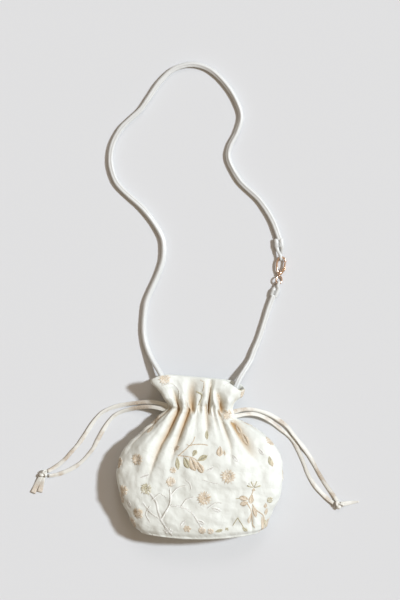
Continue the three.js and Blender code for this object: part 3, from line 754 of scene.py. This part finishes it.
NECK_SLOPE, BASE_BOW, CORNER_DROP, BACK_FLATNESS = 0.09, 6, 8, 1.35
CLOTH_WALL = 1.5
EDGE_ROUND = 0.45
CLOTH_LOWEST = 0.03
# The height over which the floor stops holding the cloth flat.
SEAT_HEIGHT = 12
# How deep a fold is where its painted warm shade starts, and over how much more depth it comes in full.
FOLD_SHADE_FROM, FOLD_SHADE_OVER = 1.2, 6.4
# How far the front of the mouth dips below the back at its right corner, and how much the left lobe of
# the frill is puffed up, in full from a share of the way up: each with its middle and its half width,
# as shares of the way from the bag's middle line to its right side.
FRONT_DIP, DIP_MIDDLE, DIP_HALF = 6.5, 0.84, 0.2
LEFT_LOBE, LOBE_MIDDLE, LOBE_HALF, LOBE_FROM = 7.0, -0.92, 0.42, 0.3
# The casing at the neck: how far it stands out and its half width, then its stitched edges' depth,
# distance from its middle and half width.
CASING_RISE, CASING_HALF = 0.9, 3.6
EDGE_DEPTH, EDGE_AWAY, EDGE_HALF = 0.6, 5.2, 1.1
# The base seam: its groove's depth, distance and half width, and how far the cloth stands out on it.
SEAM_DEPTH, SEAM_AWAY, SEAM_HALF, SEAM_RISE = 0.35, 1.6, 0.7, 0.05
# Crumples: height and size in mm, and where in the noise they are taken from.
CRUMPLES = [(2.3, 34, 0), (1.5, 12, 40), (0.42, 5.5, 80)]
# The base panel: its gap to the wall, the number of rings, its two faces' depths and its bulge.
PANEL_GAP, PANEL_RINGS, PANEL_DEPTHS, PANEL_BULGE = 0.3, 15, (1.2, 2.8), 2.0
# A fold's lead past the neck, for folds that run towards the mouth and towards the base.
LEAD_UP, LEAD_DOWN = 9.0, 7.0
# A fold's ridges: height as a share of its depth, and place and half width as shares of its width.
RIDGE_HEIGHT, RIDGE_AWAY, RIDGE_HALF = 0.16, 2.1, 0.8

# Folds of the front, each along pixels of the photograph from the neck outwards: depth, half width,
# how much wider it is to the right, and how sharp its bottom is.
FOLD_HEIGHT = 36
PLEATS = [
    ([(168, 409), (150, 425), (133, 443), (124, 458)], 4.2, 2.8, 1.0, 1.3),
    ([(178, 410), (168, 432), (160, 446), (153, 464), (147, 484)], 8.0, 3.5, 0.7, 1.2),
    ([(189, 411), (181, 432), (175, 448), (170, 468)], 8.0, 3.3, 0.7, 1.2),
    ([(206, 407), (207, 425), (206, 447)], 4.6, 1.7, 2.2, 1.2),
    ([(219, 412), (226, 432), (231, 450), (231, 468)], 4.8, 1.9, 0.9, 1.15),
    ([(233, 424), (241, 438), (250, 452), (259, 464)], 7.5, 2.4, 3.0, 1.3),
    ([(240, 414), (253, 427), (264, 440)], 2.6, 3.0, 1.3, 1.6),
    ([(197, 410), (196, 424), (193, 440)], 1.8, 2.4, 1.0, 1.5),
    ([(213, 410), (216, 424), (219, 440)], 2.0, 2.2, 1.0, 1.5),
]
FLUTES = [
    ([(178, 408), (176.5, 398), (172, 386)], 6.0, 2.4, 1.0, 1.5),
    ([(192, 409), (191.5, 395), (194, 372)], 6.0, 3.8, 1.0, 2.6),
    ([(208.5, 411), (209.7, 396), (211.8, 372)], 8.0, 1.5, 1.0, 1.2),
    ([(199.5, 409), (200.5, 398), (203, 384)], 3.2, 1.8, 1.0, 1.4),
    ([(222, 409), (219.5, 399), (216, 388)], 7.0, 2.8, 1.0, 1.6),
    ([(187, 409), (187, 401), (186, 394)], 3.0, 1.6, 1.0, 1.4),
    ([(234, 408), (237, 396), (241, 384)], 2.6, 3.0, 1.0, 1.8),
]
# Soft dents and swellings of the front: middle pixel, half sizes across and down in mm, turn, depth.
DENTS = [
    ((226, 492), 24, 8, 8, 3.0), ((152, 508), 15, 24, 0, 2.8), ((190, 505), 22, 14, -20, 2.2),
    ((262, 520), 9, 20, 12, 2.6), ((252, 520), 2.0, 15, 2, 3.0), ((180, 470), 9, 20, 10, 1.2),
    ((130, 470), 9, 20, -10, 1.3), ((258, 470), 16, 9, 30, 1.5), ((215, 460), 18, 8, 0, -1.4),
    ((165, 520), 16, 7, 15, -1.2), ((235, 525), 18, 6, 0, 1.4), ((145, 448), 6, 18, -35, -1.4),
    ((244, 470), 7, 16, 20, -1.0), ((203, 515), 26, 8, -8, -1.2),
    ((157, 386), 12, 14, 30, -1.5), ((182, 393), 4, 10, 0, -1.6), ((214, 399), 4, 8, 0, -2.4),
    ((230, 392), 9, 11, 0, -2.4), ((205, 390), 4, 12, 0, -1.8),
    ((167, 399), 6, 5, 0, -2.4), ((184, 402), 4, 5, 0, -2.2), ((202, 402), 5, 5, 0, -2.2),
    ((215, 403), 4, 5, 0, -2.0), ((228, 401), 5, 5, 0, -2.6), ((160, 412), 3, 9, -40, -1.6),
]
FRONT_COLUMNS, BACK_COLUMNS = 210, 84
OUTER_ROWS, INNER_ROWS = 176, 46
FRONT_GATHERS, BACK_GATHERS = 30, 12


def station_knots():
    """Rows from the base to the mouth: a station's six sizes, then squareness, slope, the bow at the
    base and the drop at the corners."""
    spans = [
        (BASE, BELLY, BASE_TO_BELLY, 0), (BELLY, NECK, BELLY_TO_NECK, 1), (NECK, MOUTH, NECK_TO_MOUTH, 2),
    ]
    rows = []
    for low, high, table, span in spans:
        for along, left, right, front, back in table:
            shares = (along, left, right, front, back, along)
            sizes = [a + (b - a) * share for a, b, share in zip(low, high, shares)]
            neckward = (0, along, 1)[span]
            square = BASE_SQUARENESS + (NECK_SQUARENESS - BASE_SQUARENESS) * neckward
            if span == 2:
                square = NECK_SQUARENESS + (MOUTH_SQUARENESS - NECK_SQUARENESS) * along
            bow = BASE_BOW * (1 - along) if span == 0 else 0.0
            drop = CORNER_DROP * along * along if span == 2 else 0.0
            rows.append([*sizes, square, NECK_SLOPE * neckward, bow, drop])
    return np.array(rows)


def outline(places):
    """The plain outer surface at places along the bag, as a grid of points, with their angles."""
    knots = station_knots()
    values = [smooth_curve(knots[:, 0], knots[:, i], places)[:, None] for i in range(1, 10)]
    left, right, front, back, side, square, slope, bow, drop = values
    angle = np.concatenate([
        np.arange(FRONT_COLUMNS) / FRONT_COLUMNS * np.pi,
        np.pi * (1 + np.arange(BACK_COLUMNS) / BACK_COLUMNS),
    ])[None, :]
    power = 2 / square
    share = np.sign(np.cos(angle)) * np.abs(np.cos(angle)) ** power
    lift = np.abs(np.sin(angle)) ** power
    x = share * np.where(share > 0, right, left)
    reach = lift * BACK_FLATNESS
    flat = reach / (1 + reach**8) ** 0.125 * (1 + BACK_FLATNESS**8) ** 0.125 / BACK_FLATNESS
    z = np.where(np.sin(angle) >= 0, side + (front - side) * lift, side - (side - back) * flat)
    y = places[:, None] - slope * x - drop * np.abs(share) ** 8 + bow * share**2
    risen = np.clip((places[:, None] - NECK[0]) / (MOUTH[0] - NECK[0]), 0, 1)
    y -= FRONT_DIP * bell(share, DIP_MIDDLE, DIP_HALF) * risen**2 * np.clip(np.sin(angle) * 2, 0, 1)
    lobe = bell(share, LOBE_MIDDLE, LOBE_HALF) * np.clip(risen / LOBE_FROM, 0, 1)
    z += LEFT_LOBE * lobe * np.clip(np.sin(angle) * 2 + 0.7, 0, 1)
    return np.stack([x, y, z], axis=-1), np.broadcast_to(angle, x.shape)


def fold_depth(points, route, deep, wide, lean, sharp, upward):
    """How deep one fold lies at each point, and its ridges beside it."""
    line = np.array([from_photo(*pixel, FOLD_HEIGHT) for pixel in route])
    order = np.argsort(line[:, 1])
    ys, xs = line[order, 1], line[order, 0]
    fine_y = np.linspace(ys[0], ys[-1], 60)
    fine_x = smooth_curve(ys, xs, fine_y)
    slope = np.gradient(fine_x, fine_y)
    y = points[..., 1]
    middle = np.interp(y, fine_y, fine_x)
    tilt = np.interp(y, fine_y, slope)
    off = (points[..., 0] - middle) / np.sqrt(1 + tilt**2)
    start, end = line[0, 1], line[-1, 1]
    run = (y - start) / (end - start)
    width = wide * (1 + 0.6 * np.clip(run, 0, 1)) * np.where(off > 0, lean, 1.0)
    t = np.abs(off) / width
    fade = np.clip(1 - np.clip(run, 0, 1) ** 1.8, 0, 1)
    lead = np.clip(1 + run * abs(end - start) / (LEAD_UP if upward else LEAD_DOWN), 0, 1)
    fade = fade * np.where(run < 0, lead * lead * (3 - 2 * lead), 1)
    valley = np.exp(-1.1 * t**sharp)
    ridge = bell(t, RIDGE_AWAY, RIDGE_HALF)
    return deep * fade * valley, RIDGE_HEIGHT * deep * fade * ridge


def gathers(angle, places):
    """Many small pleats where the drawstrings draw the cloth in, deepest at the neck."""
    draw = np.random.default_rng(SEED)
    away = places[:, None] - NECK[0]
    total = np.zeros(angle.shape)
    for i in range(FRONT_GATHERS):
        middle = (i + draw.uniform(-0.3, 0.3)) / FRONT_GATHERS * 2 * np.pi
        deep = draw.uniform(0.7, 1.6)
        down, up = draw.uniform(9, 30), draw.uniform(7, 20)
        half = draw.uniform(0.06, 0.1)
        bend = draw.uniform(-0.12, 0.12)
        reach = np.where(away < 0, bell(away, 0, down), bell(away, 0, up))
        off = (angle - middle - bend * away / 40 + np.pi) % (2 * np.pi) - np.pi
        total += deep * reach * np.exp(-np.abs(off / half) ** 1.4)
    return total


def surface(places, fine=True):
    """The bag's outer surface with its folds, and the painted shade of each point deep in a fold."""
    points, angle = outline(places)
    facing = np.clip(np.sin(angle) * 3, 0, 1)
    turned_away = np.clip(-np.sin(angle) * 3, 0, 1)
    valleys = np.zeros(angle.shape)
    ridges = np.zeros(angle.shape)
    for group, upward in ((PLEATS, False), (FLUTES, True)):
        for fold in group:
            valley, ridge = fold_depth(points, *fold, upward)
            valleys = np.maximum(valleys, valley)
            ridges = np.maximum(ridges, ridge)
    valleys, ridges = valleys * facing, ridges * facing
    small = gathers(angle, places)
    away = places[:, None] - NECK[0]
    back_wave = np.cos(angle * BACK_GATHERS * 2) * bell(away, 0, 22) * turned_away
    pull = valleys - ridges * np.exp(-np.abs(valleys)) + small + 0.9 * back_wave
    casing = bell(away, 0, CASING_HALF) * CASING_RISE
    casing = casing - EDGE_DEPTH * bell(np.abs(away), EDGE_AWAY, EDGE_HALF)
    pull -= casing * np.exp(-valleys / 2.5)
    for pixel, across, down, turn, deep in DENTS:
        centre = from_photo(*pixel, FOLD_HEIGHT)
        dx, dy = points[..., 0] - centre[0], points[..., 1] - centre[1]
        c, s = math.cos(math.radians(turn)), math.sin(math.radians(turn))
        far = -((dx * c + dy * s) / across) ** 2 - ((dy * c - dx * s) / down) ** 2
        pull += deep * facing * np.exp(far)
    seam = places[:, None] - BASE[0]
    pull += SEAM_DEPTH * bell(seam, SEAM_AWAY, SEAM_HALF) - SEAM_RISE * bell(seam, 0, SEAM_HALF)
    around = np.roll(points, -1, axis=1) - np.roll(points, 1, axis=1)
    outward = unit(np.stack([around[..., 2], np.zeros(angle.shape), -around[..., 0]], axis=-1))
    moved = points - outward * pull[..., None]
    # The frill's valleys draw its edge down a little.
    moved[..., 1] -= 0.25 * np.clip(valleys, 0, 9) * np.clip((away - 12) / 22, 0, 1)
    if fine:
        moved += outward * soft_noise(points)[..., None]
    moved[..., 2] = np.maximum(moved[..., 2], CLOTH_LOWEST)
    # The painted shade: more the deeper a point lies in a fold or among the gathers.
    fold = np.clip((valleys + 1.2 * small - FOLD_SHADE_FROM) / FOLD_SHADE_OVER, 0, 1)
    return moved, outward, fold


def soft_noise(points):
    """Shallow dents and crumples, much weaker where the cloth lies on the floor."""
    flat = points.reshape(-1, 3)
    seat = np.clip(flat[:, 2] / SEAT_HEIGHT, 0, 1)
    values = 0.0
    for height, size, start in CRUMPLES:
        values = values + height * np.array([noise(Vector(p / size + start)) for p in flat])
    return (values * seat).reshape(points.shape[:-1])


def pouch_piece():
    """The bag's cloth as one closed wall, and its outer surface as a grid of points."""
    places = np.linspace(BASE[0], MOUTH[0], OUTER_ROWS)
    outer, outward, fold = surface(places)
    kept = np.unique(np.round(np.linspace(0, OUTER_ROWS - 1, INNER_ROWS)).astype(int))
    inner = outer[kept] - outward[kept] * CLOTH_WALL
    lip = outer[-1] - outward[-1] * CLOTH_WALL / 2 + [0, EDGE_ROUND, 0]
    hem = outer[0] - outward[0] * CLOTH_WALL / 2 - [0, EDGE_ROUND, 0]
    rows = np.concatenate([outer, lip[None], inner[::-1], hem[None]])
    # The painted fold shade of each row, the lip and the hem included.
    fold_shade = np.concatenate([fold, fold[-1:], fold[kept][::-1], fold[:1]])
    faces = grid_faces(len(rows), outer.shape[1], ring=True).tolist()
    belly_row = int(np.argmin(np.abs(places - BELLY[0])))
    uvs = grid_uvs(run_along(closed(outer[belly_row])), run_along(closed(rows[:, FRONT_COLUMNS // 2])))
    shades = {"fold": fold_shade.ravel()}
    return mesh_object("pouch", rows.reshape(-1, 3), faces, cloth_finish, uvs=uvs, shades=shades), outer


pouch, pouch_grid = pouch_piece()


def base_piece():
    """The oval panel sewn in at the base, drawn in a little at its middle."""
    places = np.array([BASE[0], BASE[0] + 1.0])
    rim, outward, _ = surface(places, fine=False)
    rim = rim[0] - outward[0] * (CLOTH_WALL + PANEL_GAP)
    centre = np.array([(BASE[2] - BASE[1]) / 2, 0, BASE[3] / 2])
    sizes = np.linspace(1.0, 0.04, PANEL_RINGS)
    rings = []
    for depth, order in zip(PANEL_DEPTHS, (sizes[::-1], sizes)):
        for size in order:
            ring = centre + (rim - centre) * [size, 0, size]
            bow = BASE_BOW * (ring[:, 0] / BASE[2]) ** 2
            ring[:, 1] = BASE[0] + depth + PANEL_BULGE * (1 - size**2) + bow
            ring[:, 1] += 0.9 * np.array([noise(Vector(p / 15)) for p in ring]) * (1 - size**4)
            rings.append(ring)
    rings = np.array(rings)
    faces = capped_faces(*rings.shape[:2])
    points = rings.reshape(-1, 3)
    uvs = points[np.concatenate(faces)][:, [0, 2]]
    # The panel takes no painted fold shade.
    shades = {"fold": np.zeros(len(points))}
    return mesh_object("base_oval", points, faces, cloth_finish, uvs=uvs, shades=shades)


base_oval = base_piece()


# Embroidery

cloth_tree = BVHTree.FromPolygons(
    [tuple(p) for p in pouch_grid.reshape(-1, 3)],
    grid_faces(pouch_grid.shape[0], pouch_grid.shape[1]).tolist(),
)
THREAD_HALF, THREAD_RISE, THREAD_SUNK = 0.36, 0.42, 0.3
STITCHES_APART = 0.6
# A strand's width and rise at its two ends, as shares of what they are between them.
END_WIDTH, END_RISE = 0.55, 0.5
SHORTEST_STRAND = 0.2
LOWEST = 0.02
needle = np.random.default_rng(SEED + 1)


def on_cloth(point):
    """The nearest place on the cloth and its normal."""
    place, normal, _, _ = cloth_tree.find_nearest(Vector(point))
    return np.array(place), np.array(normal)


class Stitches:
    """Strands of thread on the cloth, gathered into one mesh."""

    def __init__(self):
        self.points = []
        self.faces = []
        self.tones = []

    def strand(self, path, half=THREAD_HALF, tone=0.5):
        """A strand laid along points, which are dropped onto the cloth."""
        spots = [on_cloth(point) for point in path]
        way = spots[-1][0] - spots[0][0]
        length = np.linalg.norm(way)
        if length < SHORTEST_STRAND:
            return
        way /= length
        start = len(self.points)
        last = start + 4 * (len(spots) - 1)
        for i, (place, normal) in enumerate(spots):
            side = np.cross(normal, way)
            side /= max(np.linalg.norm(side), 1e-6)
            at_end = i in (0, len(spots) - 1)
            side = side * (half * (END_WIDTH if at_end else 1.0))
            rise = normal * (THREAD_RISE * (END_RISE if at_end else 1.0))
            self.points += [place - side, place + rise, place + side, place - normal * THREAD_SUNK]
            self.tones += [tone] * 4
        for near in range(start, last, 4):
            for j, k in ((0, 1), (1, 2), (2, 3), (3, 0)):
                self.faces.append([near + j, near + k, near + 4 + k, near + 4 + j])
        self.faces.append([start + 3, start + 2, start + 1, start])
        self.faces.append([last, last + 1, last + 2, last + 3])

    def piece(self, name, material):
        points = np.array(self.points)
        points[:, 2] = np.maximum(points[:, 2], LOWEST)
        return mesh_object(name, points, self.faces, material, shades={"tone": self.tones})


threads = {"tan": Stitches(), "olive": Stitches(), "white": Stitches()}


class Spot:
    """A place on the cloth with its own across and up directions."""

    def __init__(self, place, normal, way=(0.0, 1.0, 0.0)):
        self.place = np.array(place)
        self.normal = np.array(normal)
        up = np.array(way) - self.normal * np.dot(way, self.normal)
        if np.linalg.norm(up) < 0.1:
            up = np.array([0.0, 0.0, 1.0]) - self.normal * self.normal[2]
        self.up = up / np.linalg.norm(up)
        self.across = np.cross(self.up, self.normal)

    def at(self, u, v):
        return self.place + self.across * u + self.up * v


def spot_under(column, row, way=(0.0, 1.0, 0.0)):
    """The place on the cloth that a pixel of the photograph shows."""
    flat = from_photo(column, row)
    eye = Vector(CAMERA)
    ray = Vector((flat[0], flat[1], 0)) - eye
    place, normal, _, _ = cloth_tree.ray_cast(eye, ray.normalized())
    if place is None:
        place, normal = on_cloth((flat[0], flat[1], 20))
    return Spot(place, normal, way)


def radial(spot, angle, near, far):
    """Points straight outwards from a spot, between two distances."""
    c, s = math.cos(angle), math.sin(angle)
    return [spot.at(c * r, s * r) for r in np.linspace(near, far, 4)]


# A flower's petals, the strands in each, the share of these in the petals' own thread rather than
# white, and the strands and the knots of its heart.
PETALS, PETAL_STRANDS, OWN_THREAD = 14, 6, 0.74
HEART_STRANDS, HEART_KNOTS = 22, 8


def flower(spot, size, petal="tan", heart="white"):
    """A round flower: satin petals, shorter strands round its heart, and pale knots in its middle."""
    outer = size / 2
    for i in range(PETALS):
        middle = (i + 0.5) / PETALS * 2 * math.pi
        tone = needle.uniform(0, 0.5)
        for j in range(PETAL_STRANDS):
            lean = (j - (PETAL_STRANDS - 1) / 2) / PETAL_STRANDS * 2 * math.pi / PETALS
            far = outer * (1 - 1.6 * (lean * PETALS / 7) ** 2) * needle.uniform(0.84, 1.1)
            near = outer * needle.uniform(0.22, 0.45)
            kind = petal if needle.uniform() < OWN_THREAD else "white"
            path = radial(spot, middle + lean, near, far)
            threads[kind].strand(path, half=0.3, tone=tone + needle.uniform(0, 0.5))
    for i in range(HEART_STRANDS):
        angle = (i + needle.uniform(0, 0.6)) / HEART_STRANDS * 2 * math.pi
        tone = needle.uniform(0.3, 1.0)
        path = radial(spot, angle, outer * 0.02, outer * needle.uniform(0.34, 0.5))
        threads[petal].strand(path, tone=tone)
    for i in range(HEART_KNOTS):
        angle = i / (HEART_KNOTS - 1) * 2 * math.pi
        reach = outer * 0.24 if i < HEART_KNOTS - 1 else 0.0
        c, s = math.cos(angle) * reach, math.sin(angle) * reach
        for cross in (0.0, 1.6):
            dc, ds = math.cos(cross) * 0.6, math.sin(cross) * 0.6
            knot = [spot.at(c - dc, s - ds), spot.at(c, s), spot.at(c + dc, s + ds)]
            threads[heart].strand(knot, half=0.45, tone=needle.uniform(0, 0.6))


def half_flower(spot, size, kind):
    """A flower seen from its side: long petals fanned upwards from a tan cup."""
    for i in range(7):
        angle = math.radians(90 + (i - 3) * 24)
        thread = threads["white" if i % 2 else kind]
        for lean in (-0.07, 0.0, 0.07):
            thread.strand(radial(spot, angle + lean, 1.0, size), tone=needle.uniform(0, 1))
    for i in range(5):
        angle = math.radians(-90 + (i - 2) * 16)
        threads["tan"].strand(radial(spot, angle, 0.0, size * 0.45), tone=0.9)


def leaf(spot, length, width, kind):
    """A leaf of slanting satin stitches on both sides of its rib, from the spot along its up."""
    count = max(int(length / STITCHES_APART), 4)
    for i in range(count):
        share = (i + 0.5) / count
        reach = width / 2 * math.sin(math.pi * share**0.8)
        for side in (-1, 1):
            start = spot.at(0, share * length)
            end = spot.at(side * reach, share * length + reach * 0.7)
            threads[kind].strand([start, (start + end) / 2, end], tone=needle.uniform(0, 0.7))


def leaf_between(kind, root, tip, width):
    """A leaf from one pixel of the photograph to another, its width in mm."""
    start, end = spot_under(*root), spot_under(*tip)
    way = end.place - start.place
    leaf(Spot(start.place, start.normal, way), np.linalg.norm(way), width, kind)


def vine(kind, width, pixels):
    """A stem of short slanting stitches along pixels of the photograph."""
    spots = [spot_under(*pixel) for pixel in pixels]
    line = route_curve([spot.place for spot in spots], STITCHES_APART)
    ways = np.gradient(line, axis=0)
    for place, way in zip(line, ways):
        way = way / max(np.linalg.norm(way), 1e-6)
        side = np.cross(on_cloth(place)[1], way)
        slant = side * width / 2 + way * width * 0.45
        threads[kind].strand([place - slant, place, place + slant], half=0.34, tone=needle.uniform(0, 1))


def cluster(pixel, kind, count, length, width, turn, spread):
    """Small leaves fanned out from one pixel."""
    for i in range(count):
        angle = math.radians(90 + turn + spread * ((i + 0.5) / count - 0.5) + needle.uniform(-8, 8))
        spot = spot_under(*pixel, way=(math.cos(angle), math.sin(angle), 0.0))
        leaf(spot, length * needle.uniform(0.85, 1.1), width, kind)


# Flowers: middle pixel, size in mm and threads of the petals and the heart.
FLOWERS = [
    ((137.5, 459.5), 15, "tan", "white"), ((146, 489), 14.5, "olive", "white"),
    ((123, 491), 14, "tan", "tan"), ((138, 513.5), 14, "tan", "white"),
    ((170.8, 481.8), 12, "tan", "white"), ((204, 498.5), 17.5, "tan", "white"),
    ((228, 476.4), 18, "tan", "white"), ((164.5, 378.5), 15, "tan", "white"),
    ((227.5, 415), 14, "tan", "white"), ((173, 470), 8, "tan", "tan"),
    ((202, 530.5), 9.5, "tan", "white"), ((210.5, 531.5), 8, "tan", "white"),
    ((270, 500), 8, "olive", "white"),
]
HALF_FLOWERS = [((253.7, 488), 8.5, "olive"), ((201, 378), 6.0, "olive")]
# Leaves: thread, root and tip pixels, and width in mm.
LEAVES = [
    ("olive", (184, 457), (189, 468.5), 8.0), ("tan", (190, 457), (195.5, 471), 10.0),
    ("olive", (192.5, 456.5), (196.5, 450), 5.5), ("olive", (197, 461), (207.5, 455.5), 6.5),
    ("tan", (197, 462), (203, 473.5), 8.0), ("olive", (177, 457), (179, 471), 5.5),
    ("tan", (176.5, 444), (177.5, 452), 4.5), ("tan", (220, 446), (219.5, 456.5), 8.0),
    ("tan", (224, 450), (225, 456), 2.5), ("tan", (249, 499.5), (238.5, 497), 6.5),
    ("tan", (248.5, 502), (239.5, 505), 6.0), ("tan", (252, 494), (250.5, 504), 6.5),
    ("tan", (252.5, 506), (257, 517.5), 6.0), ("tan", (251, 513), (249, 523.5), 6.0),
    ("tan", (262, 516), (261.5, 531), 5.5), ("olive", (264.5, 519.5), (267.5, 528), 5.5),
    ("tan", (266, 503), (265, 508), 4.0), ("tan", (267, 508), (265.5, 515), 4.4),
    ("olive", (242, 527.5), (247.5, 531.5), 4.4), ("olive", (269, 456), (271.5, 466), 6.0),
    ("tan", (271, 459), (273, 467), 4.0), ("tan", (242, 433), (249, 446), 7.0),
    ("tan", (236, 425), (241, 434), 6.0), ("tan", (154, 426), (147, 433), 5.0),
    ("tan", (217.5, 393), (219.5, 403), 5.5), ("olive", (190, 377), (198, 378.5), 5.0),
    ("olive", (236.5, 381), (240, 383), 3.0), ("olive", (207, 430), (206.5, 440), 5.0),
    ("olive", (215, 532), (223, 529.5), 4.0),
    ("white", (196, 520), (205, 524), 5.0), ("white", (212, 508), (222, 512), 5.0),
    ("white", (140, 478), (150, 474), 4.5), ("white", (232, 455), (240, 462), 5.0),
    ("white", (258, 448), (264, 455), 4.5), ("white", (186, 520), (180, 527), 4.5),
    ("white", (206, 471), (214, 467), 4.5), ("white", (128, 500), (131, 508), 4.0),
]
# Clusters: middle pixel, thread, number, length, width, turn and spread in degrees.
CLUSTERS = [
    ((187, 529), "tan", 6, 4.6, 2.8, 0, 340), ((227, 529), "olive", 4, 2.0, 1.6, 0, 340),
    ((168, 531), "white", 6, 5.5, 3.2, 0, 340), ((177, 448), "tan", 5, 3.4, 2.2, 0, 340),
]
# Stems: thread, width in mm and the pixels that they follow.
VINES = [
    ("white", 2.5, [(150, 493), (156, 502), (158, 511), (161, 520)]),
    ("white", 2.5, [(170, 489), (170, 503), (161, 520)]),
    ("white", 2.1, [(170, 505), (181, 507), (191, 512), (203, 530)]),
    ("white", 2.4, [(161, 520), (166, 528), (172, 535)]),
    ("white", 1.5, [(152, 500), (160, 494), (166, 497)]),
    ("white", 1.5, [(150, 506), (146, 514), (150, 522)]),
    ("tan", 1.2, [(178.5, 456), (185.6, 449.6), (190, 445.8), (201, 444.3), (207.5, 445.2)]),
    ("tan", 1.0, [(190, 445.8), (193.2, 441.2), (195, 436.7)]),
    ("tan", 0.9, [(187, 444.5), (190, 446)]),
    ("tan", 1.2, [(178, 455.4), (184.7, 456.3), (190.5, 457.2), (195, 459), (198.6, 463), (202.6, 467)]),
    ("tan", 1.3, [(253.5, 489), (252, 494), (250, 500)]),
    ("tan", 1.3, [(245.6, 501.6), (249.9, 507.8), (251.8, 514.5), (252.8, 525), (254.7, 527.4)]),
    ("tan", 1.3, [
        (252.3, 504.4), (256.6, 510.2), (263.3, 515.5), (264.2, 520), (263.3, 528.9), (261.8, 532.7),
    ]),
    ("olive", 0.9, [(240, 498.7), (236, 498.7)]),
    ("olive", 1.0, [(237.9, 517.8), (235, 522), (233, 525.5)]),
    ("olive", 1.0, [(237.9, 517.8), (241, 523), (244, 528)]),
    ("white", 1.3, [(203, 480), (210, 482), (219, 484)]),
    ("white", 1.3, [(186, 480), (190, 484), (191, 489)]),
    ("white", 1.4, [(208, 508), (216, 503), (222, 503)]),
    ("white", 1.8, [(161, 520), (150, 512), (143, 503)]),
    ("white", 1.8, [(170, 496), (178, 488), (186, 486)]),
    ("white", 1.8, [(181, 507), (186, 500), (194, 497)]),
    ("white", 1.8, [(162, 386), (172.4, 383.8), (179, 391), (179, 399)]),
    ("olive", 1.8, [(196.7, 391.7), (202, 395.3), (198.5, 405)]),
    ("white", 1.6, [(224, 386), (231, 384), (236, 389)]),
    ("tan", 1.2, [(201, 378), (204, 384), (203, 391)]),
]


def embroider():
    for pixel, size, petal, heart in FLOWERS:
        flower(spot_under(*pixel), size, petal, heart)
    for pixel, size, kind in HALF_FLOWERS:
        half_flower(spot_under(*pixel), size, kind)
    for entry in LEAVES:
        leaf_between(*entry)
    for entry in CLUSTERS:
        cluster(*entry)
    for entry in VINES:
        vine(*entry)


# How many places on the back are tried, how near two motifs may be in mm, and the rows at the base
# and the mouth and the columns round each side that bound them.
BACK_TRIES, BACK_APART = 400, 24
ROWS_AT_BASE, ROWS_AT_MOUTH, COLUMNS_ROUND_SIDE = 10, 6, 14


def embroider_back():
    """The same flowers and leaves, scattered over the sides and the back."""
    rows, columns = pouch_grid.shape[:2]
    taken = []
    for _ in range(BACK_TRIES):
        row = int(needle.integers(ROWS_AT_BASE, rows - ROWS_AT_MOUTH))
        column = needle.integers(FRONT_COLUMNS - COLUMNS_ROUND_SIDE, columns + COLUMNS_ROUND_SIDE)
        place = pouch_grid[row, int(column) % columns]
        if any(np.linalg.norm(place - other) < BACK_APART for other in taken):
            continue
        taken.append(place)
        found, normal = on_cloth(place)
        turn = needle.uniform(0, 2 * math.pi)
        if len(taken) % 3:
            flower(Spot(found, normal), needle.uniform(12, 15))
            continue
        kind = ("olive", "white", "tan")[len(taken) // 3 % 3]
        for lean in (-0.8, 0.0, 0.8):
            way = (math.cos(turn + lean), math.sin(turn + lean), 0.3)
            leaf(Spot(found, normal, way), 9, 4.5, kind)


embroider()
embroider_back()
embroidery = [
    threads["tan"].piece("embroidery_tan", tan_thread),
    threads["olive"].piece("embroidery_olive", olive_thread),
    threads["white"].piece("embroidery_white", white_thread),
]


# Pieces: what each rides on, a finish slot's name, and the nodes that it replaces.
PIECES = [
    (pouch, "bag", "bag_cloth", ["pouch_cloth"]),
    (base_oval, "bag", "bag_cloth", ["base_panel"]),
    *((piece, "bag", "bag_cloth", []) for piece in embroidery),
    (strap_long, "bag", "strap_satin", ["strap_long"]),
    (strap_short, "bag", "strap_satin", ["strap_short"]),
    (end_long, "bag", "strap_satin", ["strap_end_long"]),
    (end_short, "bag", "strap_satin", ["strap_end_short"]),
    (cast_hook, "hook", "clasp_metal", ["hook_body"]),
    (cast_lever, "gate", "clasp_metal", ["hook_gate"]),
    (cast_eye, "bag", "clasp_metal", ["swivel_eye"]),
    *((piece, "bag", "drawstring_cloth", ["drawstring_" + run]) for run, piece in strings.items()),
    (knot_left, "bag", "drawstring_cloth", ["knot_left"]),
    (knot_right, "bag", "drawstring_cloth", ["knot_right"]),
]
for piece, body, slot, nodes in PIECES:
    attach(piece, body)
    if nodes:
        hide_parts(*nodes)


def declare_cord(path):
    [tuple(np.array(p) * MM) for p in route_curve(path, 2)]


for piece, route, length, with_pieces in (
    (strap_long, STRAP_LONG, 0.712, [end_long, cast_hook, cast_lever]),
    (strap_short, STRAP_SHORT, 0.133, [end_short, cast_eye]),
):
    declare_cord(route)
for run, route, length, knot in (
    ("left_outer", LEFT_OUTER, 0.172, knot_left),
    ("left_inner", LEFT_INNER, 0.169, knot_left),
    ("right_upper", RIGHT_UPPER, 0.172, knot_right),
    ("right_lower", RIGHT_LOWER, 0.165, knot_right),
):
    declare_cord(drawn_route(route))
